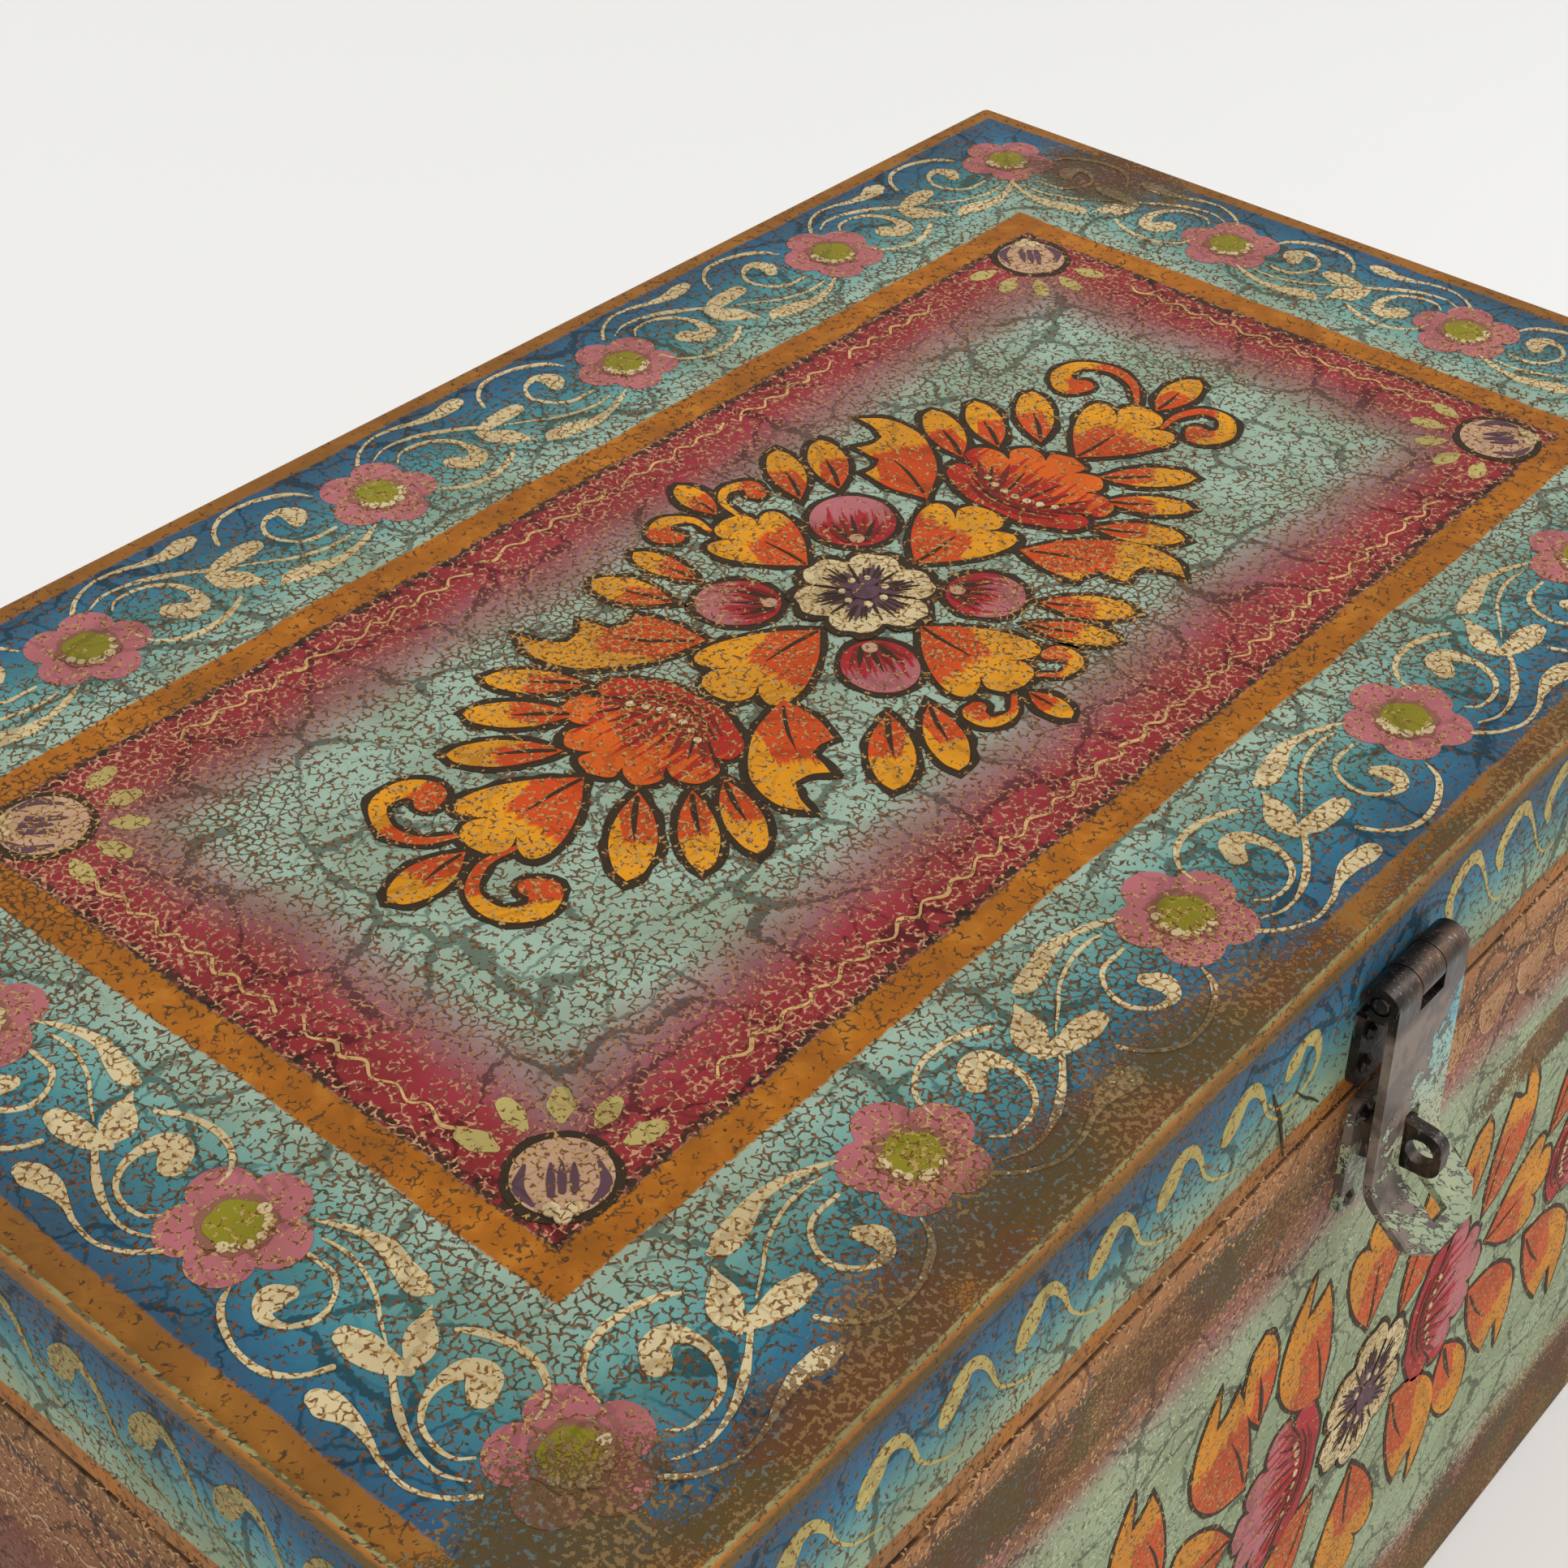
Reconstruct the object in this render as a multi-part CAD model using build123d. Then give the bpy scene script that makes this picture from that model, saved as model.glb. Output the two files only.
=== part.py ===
from build123d import *
import math
import os

# Painted wooden box for papers and keepsakes, with a hinged lid and a hasp over a padlock eye.
# Millimetres. +Z is up, the front faces -Y, the bottom rests on Z = 0 and X runs along the box.
# The case is centred on the origin until the last step, which centres the whole object's depth.

# Case and lid
length = 320.0          # outside, along X
depth = 192.0           # outside, along Y
height = 214.0          # bottom of the case to the top of the lid
lid_height = 33.0       # top of the lid down to the seam
seam_gap = 0.3          # daylight between the lid and the case
wall = 9.0              # boards of the case and rims of the lid
top_thick = 6.2
bottom_thick = 6.0
corner_tongue = 4.0     # wood of a long board that is left outside the end board's rebate
bottom_lap = 4.0        # depth of the rebate that carries the bottom board
corner_round = 1.8      # upright outer corners, worn round
arris_round = 1.4       # edges of the top
seam_ease = 0.5         # bevel of the edges along the seam
foot_ease = 0.9         # bevel of the edges along the bottom

# Hasp: a strap rolled round a pin on the lid, with a slot that drops over the eye
hasp_drop = 13.4        # top of the lid down to the pin
hasp_width = 18.8
hasp_sheet = 1.4
hasp_pin_r = 1.5
hasp_flat = 31.5        # pin down to where the strap begins to turn out
hasp_lean = 1.2         # degrees that the closed strap leans out
lip_turn = 48.0         # degrees that the finger lip turns out from the strap
lip_bend_r = 5.0        # inside radius of that bend
slot_width = 3.8
slot_above_eye = 1.4    # free slot above the eye
lip_bar = 3.2           # bar that closes the slot, at the lip's end
lip_end_width = 9.6     # the lip's corners are cut back to this
fixed_leaf_drop = 17.0  # pin down to the end of the leaf under the strap
knuckle_gap = 0.2       # between neighbouring knuckles, along the pin
hasp_knuckle = 6.2      # length of each of the strap's two knuckles

# Padlock eye on its plate
eye_drop = 43.0         # top of the lid down to the middle of the hole
eye_hole_r = 2.2
eye_rim = 1.2           # metal left outside the hole
eye_tall = 9.4          # at the root
eye_taper = 1.0         # how much each edge of the eye closes in towards its tip
eye_thick = 2.2
eye_corner_r = 2.6
shoulder_wide = 6.8     # where the closed strap rests, either side of the eye
shoulder_tall = 5.6
shoulder_flare = 9.0    # degrees that the shoulder widens towards the plate
plate_wide = 13.0
plate_tall = 22.0
plate_thick = 1.4
plate_corner_r = 2.0
plate_below_seam = 2.4  # seam down to the plate's top edge

# Hinges on the back
hinge_spread = 200.0    # between the middles of the two hinges
hinge_width = 44.0
hinge_leaf = 22.0       # pin to the end of each leaf
hinge_sheet = 1.5
hinge_pin_r = 1.5
hinge_knuckles = 3

# Clearances
pin_clear = 0.05        # radial, between a pin and the knuckles that turn on it
roll_clear = 0.3        # between a knuckle and the wood or leaf beside it
rest_clear = 0.1        # between the closed strap and the shoulder of the eye
lock_clear = 0.25       # between a padlock's shackle and the strap
sweep_clear = 0.25      # between the strap's bar and the eye's tip as the lid is raised
nail_clear = 0.03       # radial, round nails and screws
curl_from = 14.0        # degrees past the leaf where a rolled knuckle's sheet ends
curl_open = 32.0        # degrees left open where a rolled knuckle meets its leaf

# Hand-cut nails with square shanks, and countersunk screws
nail_head_r = 1.5
nail_head_sides = 8
nail_head_tall = 0.7
nail_head_slope = 40.0  # degrees that the head's facets lean in
nail_thick = 1.2        # side of the square shank
screw_head_r = 2.7
screw_neck_r = 1.3      # where the head's cone ends
screw_shank_r = 1.2
screw_shank_sides = 12  # of the shank, which is hidden in the wood
screw_slot = 0.7        # width and depth
screw_slot_long = 4.4
tip_cover = 1.6         # wood left past the tip of a nail or screw
leaf_nail_inset = 3.2   # nail to the edges of the hasp's leaf
leaf_nail_row = 6.2     # between the two rows of nails in that leaf
plate_nail_inset = 2.5  # nail to the edges of the eye's plate
screw_pitch = 26.0      # between the two screws of a hinge leaf
screw_from_end = 8.5    # screw to the end of a hinge leaf

seam = height - lid_height
case_top = seam - seam_gap / 2
lid_foot = seam + seam_gap / 2
lid_inside_top = height - top_thick
front_y = -depth / 2
back_y = depth / 2

hasp_bore = hasp_pin_r + pin_clear
hasp_roll = hasp_bore + hasp_sheet
hasp_off = hasp_roll + roll_clear           # front of the lid out to the pin
hasp_z = height - hasp_drop
hasp_at = Pos(0, front_y - hasp_off, hasp_z)
hasp_middle = hasp_width - 2 * hasp_knuckle - 2 * knuckle_gap

hinge_bore = hinge_pin_r + pin_clear
hinge_roll = hinge_bore + hinge_sheet
hinge_off = hinge_roll + roll_clear         # back of the box out to the pin


def strap_face_off(radius, drop):
    """How far the closed strap's face, at this radius from the pin, stands off the box at a drop below it."""
    lean = math.radians(hasp_lean)
    return hasp_off + radius / math.cos(lean) + drop * math.tan(lean)


eye_z = height - eye_drop
eye_hole_off = strap_face_off(hasp_roll, hasp_z - eye_z) + lock_clear + eye_hole_r
eye_tip_off = eye_hole_off + eye_hole_r + eye_rim
shoulder_off = strap_face_off(hasp_bore, hasp_z - eye_z - shoulder_tall / 2) - rest_clear
plate_top = seam - plate_below_seam
slot_top = hasp_z - eye_z - eye_tall / 2 - slot_above_eye

near = 0.01             # how closely an edge's height is matched
nodes = {}


def block(x, y, z):
    """A box from three pairs of limits."""
    sizes = [high - low for low, high in (x, y, z)]
    middles = [(high + low) / 2 for low, high in (x, y, z)]
    return Pos(*middles) * Box(*sizes)


def polygon(points):
    """A flat face with these corners, where they are given."""
    return make_face(Polyline(*points, close=True))


def side_solid(face, x_low, x_high):
    """A side profile, drawn as outwards and upwards, made solid between two places along X."""
    side = Plane(origin=(x_low, 0, 0), x_dir=(0, -1, 0), z_dir=(-1, 0, 0))
    return extrude(side * face, amount=x_high - x_low, dir=(1, 0, 0))


def outer_block(z_low, z_high):
    """The box's outline between two heights, its upright corners rounded."""
    body = block((-length / 2, length / 2), (front_y, back_y), (z_low, z_high))
    return fillet(body.edges().filter_by(Axis.Z), corner_round)


def ring(body, z):
    """The edges that lie at one height."""
    return body.edges().filter_by_position(Axis.Z, z - near, z + near)


def board_blanks(z_low, z_high):
    """Four blanks of a frame: ends that lie in rebates of the long boards, then front and back."""
    span = (z_low, z_high)
    reach = back_y - corner_tongue
    blanks = {
        "left": block((-length / 2, -length / 2 + wall), (-reach, reach), span),
        "right": block((length / 2 - wall, length / 2), (-reach, reach), span),
    }
    ends = blanks["left"] + blanks["right"]
    full = (-length / 2, length / 2)
    blanks["front"] = block(full, (front_y, front_y + wall), span) - ends
    blanks["back"] = block(full, (back_y - wall, back_y), span) - ends
    return blanks


def make_case():
    """Four boards in rebated corners, and the bottom board in a rebate round their feet."""
    shape = outer_block(0, case_top)
    shape = chamfer(ring(shape, 0), foot_ease)
    shape = chamfer(ring(shape, case_top), seam_ease)
    rest = wall - bottom_lap
    bottom = block((-length / 2 + rest, length / 2 - rest), (front_y + rest, back_y - rest), (0, bottom_thick))
    blanks = board_blanks(0, case_top)
    names = {"front": "front_board", "back": "back_board", "left": "left_end_board", "right": "right_end_board"}
    for side, name in names.items():
        nodes[name] = (shape & blanks[side]) - bottom
    nodes["bottom_board"] = bottom


def make_lid():
    """Four rims in rebated corners with the top board laid over them, flush all round."""
    shape = outer_block(lid_foot, height)
    shape = chamfer(ring(shape, lid_foot), seam_ease)
    shape = fillet(ring(shape, height), arris_round)
    for side, blank in board_blanks(lid_foot, lid_inside_top).items():
        nodes[f"lid_{side}_rim"] = shape & blank
    everywhere = (-length, length)
    nodes["lid_top_board"] = shape & block(everywhere, everywhere, (lid_inside_top, height))


def roll(bore, radius, side):
    """A knuckle's rolled sheet, open where its end meets the leaf. Side -1 has the leaf behind, 1 in front."""
    start = 180.0 + curl_from
    reach = 2 * radius
    turns = [math.radians(start), math.radians(start + curl_open)]
    wedge = [(0, 0)] + [(-side * reach * math.cos(turn), reach * math.sin(turn)) for turn in turns]
    return Circle(radius) - Circle(bore) - polygon(wedge)


def notch(x_low, x_high, radius):
    """The space cut out of a leaf for a knuckle of its partner, the pin lying on X."""
    reach = 4 * radius
    gap = knuckle_gap
    return block((x_low - gap, x_high + gap), (-reach, reach), (-radius - roll_clear, reach))


def leaf(width, drop, bore, sheet, partner_spans):
    """A leaf on the wood behind it, hanging from knuckles round a pin that lies on X at the origin."""
    radius = bore + sheet
    wood = -radius - roll_clear
    lean_drop = 2 * radius
    lean_points = [(-radius, 0), (-bore, 0), (wood + sheet, -lean_drop), (wood, -lean_drop)]
    flat_points = [(wood, -lean_drop), (wood + sheet, -lean_drop), (wood + sheet, -drop), (wood, -drop)]
    profile = roll(bore, radius, 1) + polygon(lean_points) + polygon(flat_points)
    body = side_solid(profile, -width / 2, width / 2)
    for x_low, x_high in partner_spans:
        body -= notch(x_low, x_high, radius)
    corners = body.edges().filter_by(Axis.Y).sort_by(Axis.Z)[:2]
    return fillet(corners, 2 * sheet)


def nail_shank(clear, under):
    """The nail's square shank under its head, through what it holds and into the wood."""
    reach = under + wall - tip_cover + clear
    side = nail_thick + 2 * clear
    return Box(side, side, reach, align=(Align.CENTER, Align.CENTER, Align.MAX))


def nail(under):
    """A nail with a faceted head on Z = 0, long enough for the sheet under its head."""
    head = extrude(RegularPolygon(nail_head_r, nail_head_sides), amount=nail_head_tall, taper=nail_head_slope)
    return head + nail_shank(0, under)


def screw_space(clear):
    """A countersunk screw with its head flush with Z = 0, pointing down, larger by a clearance."""
    reach = hinge_sheet + wall - tip_cover + clear
    cone = screw_head_r - screw_neck_r
    under = Align.CENTER, Align.CENTER, Align.MAX
    head = Cone(screw_neck_r + clear, screw_head_r + clear, cone, align=under)
    return head + extrude(RegularPolygon(screw_shank_r + clear, screw_shank_sides), amount=-reach)


def screw():
    """A countersunk screw with a slot in its head."""
    return screw_space(0) - Box(screw_slot_long, screw_slot, 2 * screw_slot)


def make_hasp():
    """The leaf on the lid, the pin, and the slotted strap with its finger lip."""
    half = hasp_width / 2
    middle = hasp_middle / 2
    strap_spans = [(-half, -half + hasp_knuckle), (half - hasp_knuckle, half)]
    fixed = leaf(hasp_width, fixed_leaf_drop, hasp_bore, hasp_sheet, strap_spans)
    nails, holes = [], []
    face = Pos(0, hasp_off - hasp_sheet, 0) * Rot(X=90)
    for x in (-half + leaf_nail_inset, half - leaf_nail_inset):
        for row in (0, 1):
            spot = hasp_at * Pos(x, 0, -fixed_leaf_drop + leaf_nail_inset + row * leaf_nail_row) * face
            nails.append(spot * nail(hasp_sheet))
            holes.append(spot * nail_shank(nail_clear, hasp_sheet))
    fixed = hasp_at * fixed
    for hole in holes:
        fixed -= hole
        nodes["lid_front_rim"] -= hole
    nodes["hasp_fixed_leaf"] = fixed
    nodes["hasp_leaf_nails"] = Compound(nails)
    nodes["hasp_pin"] = hasp_at * pin(hasp_width, hasp_pin_r)
    nodes["hasp_strap"] = hasp_at * Rot(X=-hasp_lean) * strap(middle)


def pin(width, radius):
    """A pin along X with bevelled ends."""
    rod = Rot(Y=90) * Cylinder(radius, width)
    ends = rod.edges().filter_by(GeomType.CIRCLE)
    return chamfer(ends, radius * 0.25)


def strap(middle):
    """The strap, hanging straight down from the pin: two knuckles, a slot, and a lip turned out."""
    turn = math.radians(lip_turn)
    lean = math.radians(hasp_lean)
    bend_x, bend_y = hasp_roll + lip_bend_r, -hasp_flat
    outer_r = lip_bend_r + hasp_sheet

    def bend_point(radius, along):
        """A point of the lip: this far from the bend's centre line, and this far along the lip."""
        x = bend_x - radius * math.cos(turn) + along * math.sin(turn)
        y = bend_y - radius * math.sin(turn) - along * math.cos(turn)
        return x, y

    root_x, root_y = bend_point(outer_r, 0)
    root_off = hasp_off + root_x * math.cos(lean) - root_y * math.sin(lean)
    slot_along = (eye_tip_off + sweep_clear - root_off) / math.sin(turn + lean)
    lip = slot_along + lip_bar

    back = [Line((hasp_bore, 0), (hasp_bore, bend_y)), CenterArc((bend_x, bend_y), outer_r, 180, lip_turn)]
    back.append(Line(bend_point(outer_r, 0), bend_point(outer_r, lip)))
    end = Line(bend_point(outer_r, lip), bend_point(lip_bend_r, lip))
    front = [Line(bend_point(lip_bend_r, lip), bend_point(lip_bend_r, 0))]
    front.append(CenterArc((bend_x, bend_y), lip_bend_r, 180, lip_turn))
    front.append(Line((hasp_roll, bend_y), (hasp_roll, 0)))
    top = Line((hasp_roll, 0), (hasp_bore, 0))
    sheet = make_face(back + [end] + front + [top])
    half = hasp_width / 2
    body = side_solid(roll(hasp_bore, hasp_roll, -1) + sheet, -half, half)
    body -= notch(-middle, middle, hasp_roll)

    past = outer_r + hasp_sheet
    knee = past / math.cos(turn / 2)
    knee_point = (bend_x - knee * math.cos(turn / 2), bend_y - knee * math.sin(turn / 2))
    slot_points = [(0, -slot_top), (bend_x, -slot_top), bend_point(0, 0)]
    slot_points += [bend_point(0, slot_along), bend_point(past, slot_along), knee_point, (0, bend_y)]
    body -= side_solid(polygon(slot_points), -slot_width / 2, slot_width / 2)

    tip_x, tip_y = bend_point(outer_r, lip)
    lip_plane = Plane(origin=(0, -tip_x, tip_y), x_dir=(1, 0, 0), z_dir=(0, -math.cos(turn), math.sin(turn)))
    for side in (-1, 1):
        corner = [(side * lip_end_width / 2, 0), (side * half, lip_bar), (side * half * 1.1, 0)]
        body -= extrude(lip_plane * polygon(corner), amount=2 * hasp_sheet, both=True)
    return body


def make_eye():
    """The plate on the case and the padlock eye that stands through it, with its two shoulders."""
    half_root = eye_tall / 2
    half_tip = half_root - eye_taper
    outline = polygon([(0, -half_root), (eye_tip_off, -half_tip), (eye_tip_off, half_tip), (0, half_root)])
    outline = fillet(outline.vertices().sort_by(Axis.X)[-2:], eye_corner_r)
    hole = Pos(eye_hole_off, 0) * Circle(eye_hole_r)
    eye = side_solid(outline - hole, -eye_thick / 2, eye_thick / 2)
    shoulder_plane = Plane(origin=(0, -shoulder_off, 0), x_dir=(1, 0, 0), z_dir=(0, 1, 0))
    top = shoulder_plane * Rectangle(shoulder_wide, shoulder_tall)
    eye += extrude(top, amount=shoulder_off - plate_thick, taper=-shoulder_flare)
    at = Pos(0, front_y, eye_z)
    nodes["staple_eye"] = at * eye

    x_span = (-plate_wide / 2, plate_wide / 2)
    z_span = (plate_top - plate_tall, plate_top)
    plate = block(x_span, (front_y - plate_thick, front_y), z_span)
    plate = fillet(plate.edges().filter_by(Axis.Y), plate_corner_r)
    plate -= at * block((-eye_thick / 2, eye_thick / 2), (-plate_thick, 0), (-half_root, half_root))
    nails = []
    for x in (x_span[0] + plate_nail_inset, x_span[1] - plate_nail_inset):
        for z in (z_span[0] + plate_nail_inset, z_span[1] - plate_nail_inset):
            spot = Pos(x, front_y - plate_thick, z) * Rot(X=90)
            nails.append(spot * nail(plate_thick))
            hole = spot * nail_shank(nail_clear, plate_thick)
            plate -= hole
            nodes["front_board"] -= hole
    nodes["staple_plate"] = plate
    nodes["staple_nails"] = Compound(nails)


def make_hinges():
    """Two butt hinges laid on the back, their pins just behind it at the height of the seam."""
    share = hinge_width / hinge_knuckles
    inner = knuckle_gap / 2
    spans = [(-hinge_width / 2 + n * share, -hinge_width / 2 + (n + 1) * share) for n in range(hinge_knuckles)]
    shrunk = [(low + inner, high - inner) for low, high in spans]
    made = {"hinge_lower_leaves": [], "hinge_upper_leaves": [], "hinge_pins": []}
    made.update({"hinge_lower_screws": [], "hinge_upper_screws": []})
    for x in (-hinge_spread / 2, hinge_spread / 2):
        at = Pos(x, back_y + hinge_off, seam) * Rot(Z=180)
        made["hinge_pins"].append(at * pin(hinge_width, hinge_pin_r))
        kinds = (("lower", at, shrunk[1::2], "back_board"), ("upper", at * Rot(Y=180), shrunk[0::2], "lid_back_rim"))
        for kind, place, partners, wood in kinds:
            half_leaf = place * leaf(hinge_width, hinge_leaf, hinge_bore, hinge_sheet, partners)
            for along in (-screw_pitch / 2, screw_pitch / 2):
                spot = place * Pos(along, hinge_off - hinge_sheet, -hinge_leaf + screw_from_end) * Rot(X=90)
                made[f"hinge_{kind}_screws"].append(spot * screw())
                space = spot * screw_space(nail_clear)
                half_leaf -= space
                nodes[wood] -= space
            made[f"hinge_{kind}_leaves"].append(half_leaf)
    for name, solids in made.items():
        nodes[name] = Compound(solids)


make_case()
make_lid()
make_hasp()
make_eye()
make_hinges()

whole = Compound([nodes[name] for name in nodes])
centring = -whole.bounding_box().center().Y
os.makedirs("parts", exist_ok=True)
for name, shape in nodes.items():
    export_step(Pos(0, centring, 0) * shape, f"parts/{name}.step")

print(f"lid hinge axis: y {back_y + hinge_off + centring:.4f} z {seam:.4f}")
print(f"hasp pin axis: y {front_y - hasp_off + centring:.4f} z {hasp_z:.4f}")
print(f"eye hole: y {front_y - eye_hole_off + centring:.4f} z {eye_z:.4f}")
print(f"case front y {front_y + centring:.4f}, back y {back_y + centring:.4f}")
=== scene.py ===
"""The looks of a painted wooden box: old paint, painted flowers, ironwork and the stage."""

import functools
import math
import random

import bmesh
import bpy
from bpy.props import FloatProperty, FloatVectorProperty, PointerProperty
from mathutils import Matrix, Vector, noise
from mathutils.geometry import intersect_line_line_2d


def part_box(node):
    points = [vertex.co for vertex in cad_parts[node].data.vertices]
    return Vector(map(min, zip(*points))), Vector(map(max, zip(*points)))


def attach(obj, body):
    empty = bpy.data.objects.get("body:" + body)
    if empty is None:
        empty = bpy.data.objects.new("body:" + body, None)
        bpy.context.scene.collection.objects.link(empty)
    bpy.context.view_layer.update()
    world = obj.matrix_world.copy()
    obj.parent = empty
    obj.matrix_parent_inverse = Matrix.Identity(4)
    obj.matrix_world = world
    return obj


bl_info = {
    "name": "Painted Wooden Box",
    "version": (1, 0, 0),
    "blender": (4, 5, 0),
    "location": "3D View > Sidebar > Painted Box",
    "description": "Paints a hinged wooden box with crackled bands, flowers and leaves",
    "category": "Object",
}

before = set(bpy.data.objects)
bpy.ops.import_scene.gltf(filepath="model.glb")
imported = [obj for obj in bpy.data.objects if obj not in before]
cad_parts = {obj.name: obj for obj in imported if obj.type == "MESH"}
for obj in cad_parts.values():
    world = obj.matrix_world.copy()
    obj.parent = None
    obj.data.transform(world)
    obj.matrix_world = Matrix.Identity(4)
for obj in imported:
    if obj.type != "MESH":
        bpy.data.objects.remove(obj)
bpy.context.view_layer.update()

MM = 0.001
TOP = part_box("lid_top_board")
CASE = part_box("front_board")
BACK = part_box("back_board")
HALF_LONG = TOP[1][0] / MM
HALF_DEEP = (TOP[1][1] - TOP[0][1]) / 2 / MM
MIDDLE_Y = (TOP[1][1] + TOP[0][1]) / 2 / MM
HEIGHT = TOP[1][2] / MM
SEAM = CASE[1][2] / MM
LID_DEEP = HEIGHT - SEAM


def rgb(red, green, blue):
    """A colour written as it shows on a screen, 0 to 255, as the light values that shaders use."""
    shown = [part / 255 for part in (red, green, blue)]
    return tuple(part / 12.92 if part <= 0.04045 else ((part + 0.055) / 1.055) ** 2.4 for part in shown)


def solid(colour):
    """A socket's colour, from a grey, a colour property, or whole numbers as in rgb."""
    if isinstance(colour, float):
        return (colour, colour, colour, 1.0)
    if isinstance(colour[0], int):
        colour = rgb(*colour)
    return (*colour[:3], 1.0)


def size_prop(name, default, about):
    """A length in millimetres that the user can change."""
    return FloatProperty(name=name, default=default, description=about, min=0.0)


def colour_prop(name, red, green, blue, about):
    """A paint colour that the user can change."""
    return FloatVectorProperty(
        name=name, default=rgb(red, green, blue), description=about, subtype="COLOR", size=3, min=0, max=1
    )


class PaintSizes(bpy.types.PropertyGroup):
    """Sizes of the painted pattern, in millimetres."""

    outer_band: size_prop("Outer band", 4.2, "Width of the ochre band round the lid's edge, in mm")
    border_wide: size_prop("Border", 34.5, "Distance from the lid's edge to the inner ochre band, in mm")
    inner_band: size_prop("Inner band", 5.8, "Width of the ochre band round the lid's panel, in mm")
    outline: size_prop("Outline", 1.2, "Width of the dark outline round the lid's leaves and flowers, in mm")
    front_outline: size_prop("Front outline", 0.84, "Width of the same outline on the front, in mm")
    film: size_prop("Film", 0.06, "Thickness of one layer of paint, in mm")
    flower: size_prop("Border flower", 9.6, "Radius of a flower in the border, in mm")
    flower_centre: size_prop("Flower centre", 3.9, "Radius of a border flower's green centre, in mm")
    crack_cell: size_prop("Crack cell", 15.0, "Distance between the wide cracks, in mm")
    crack_wide: size_prop("Crack width", 1.35, "Width of the wide cracks at their widest, in mm")
    fleck_cell: size_prop("Fleck cell", 1.32, "Distance between the lines of flecks, in mm")
    craze_cell: size_prop("Thin crack cell", 7.0, "Distance between the thin cracks, in mm")
    panel_wave: size_prop("Wave", 5.6, "Length of one wave in the cream line round the panel, in mm")


class PaintColours(bpy.types.PropertyGroup):
    """Colours of the paint and the iron."""

    deep_blue: colour_prop("Deep blue", 8, 84, 118, "Outer part of the border")
    turquoise: colour_prop("Turquoise", 64, 146, 156, "Middle of the border")
    sea_green: colour_prop("Sea green", 164, 194, 175, "Panel and inner part of the border")
    ochre: colour_prop("Ochre", 182, 106, 16, "Bands round the lid and its panel")
    crimson: colour_prop("Crimson", 144, 24, 46, "Edge of the panel")
    mauve: colour_prop("Mauve", 150, 98, 106, "Where the crimson fades into the panel")
    cream: colour_prop("Cream", 226, 208, 164, "Scrolls, petals and dots")
    straw: colour_prop("Straw", 196, 182, 112, "Strokes on the lid's sides and dabs by the buds")
    leaf_tip: colour_prop("Leaf tip", 240, 160, 18, "Outer part of the leaves")
    leaf_base: colour_prop("Leaf base", 214, 72, 16, "Inner part of the leaves")
    palm_tip: colour_prop("Palmette tip", 226, 98, 18, "Scallops of the lid's palmettes")
    palm_base: colour_prop("Palmette base", 184, 26, 26, "Inner part of the palmettes")
    pink: colour_prop("Pink", 190, 110, 120, "Border flowers and bud tips")
    wine: colour_prop("Wine", 176, 20, 46, "Inner part of the buds")
    purple: colour_prop("Purple", 88, 60, 80, "Strokes in the cream flowers")
    moss: colour_prop("Moss", 142, 138, 24, "Centres of the border flowers")
    dark_line: colour_prop("Dark line", 20, 16, 11, "Outlines, veins and the line round the panel")
    rubbed: colour_prop("Rubbed brown", 92, 60, 36, "Where hands have rubbed the paint")
    fleck_brown: colour_prop("Fleck brown", 116, 70, 34, "Flecks in the light paint")
    wood: colour_prop("Wood", 176, 132, 84, "Bare wood inside the box")
    iron: colour_prop("Iron", 52, 46, 42, "Dark oiled iron of the hasp and eye")
    old_iron: colour_prop("Hinge iron", 104, 98, 90, "Plain iron of the hinges")


def sizes():
    return bpy.context.scene.paint_sizes


def colours():
    return bpy.context.scene.paint_colours


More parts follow.
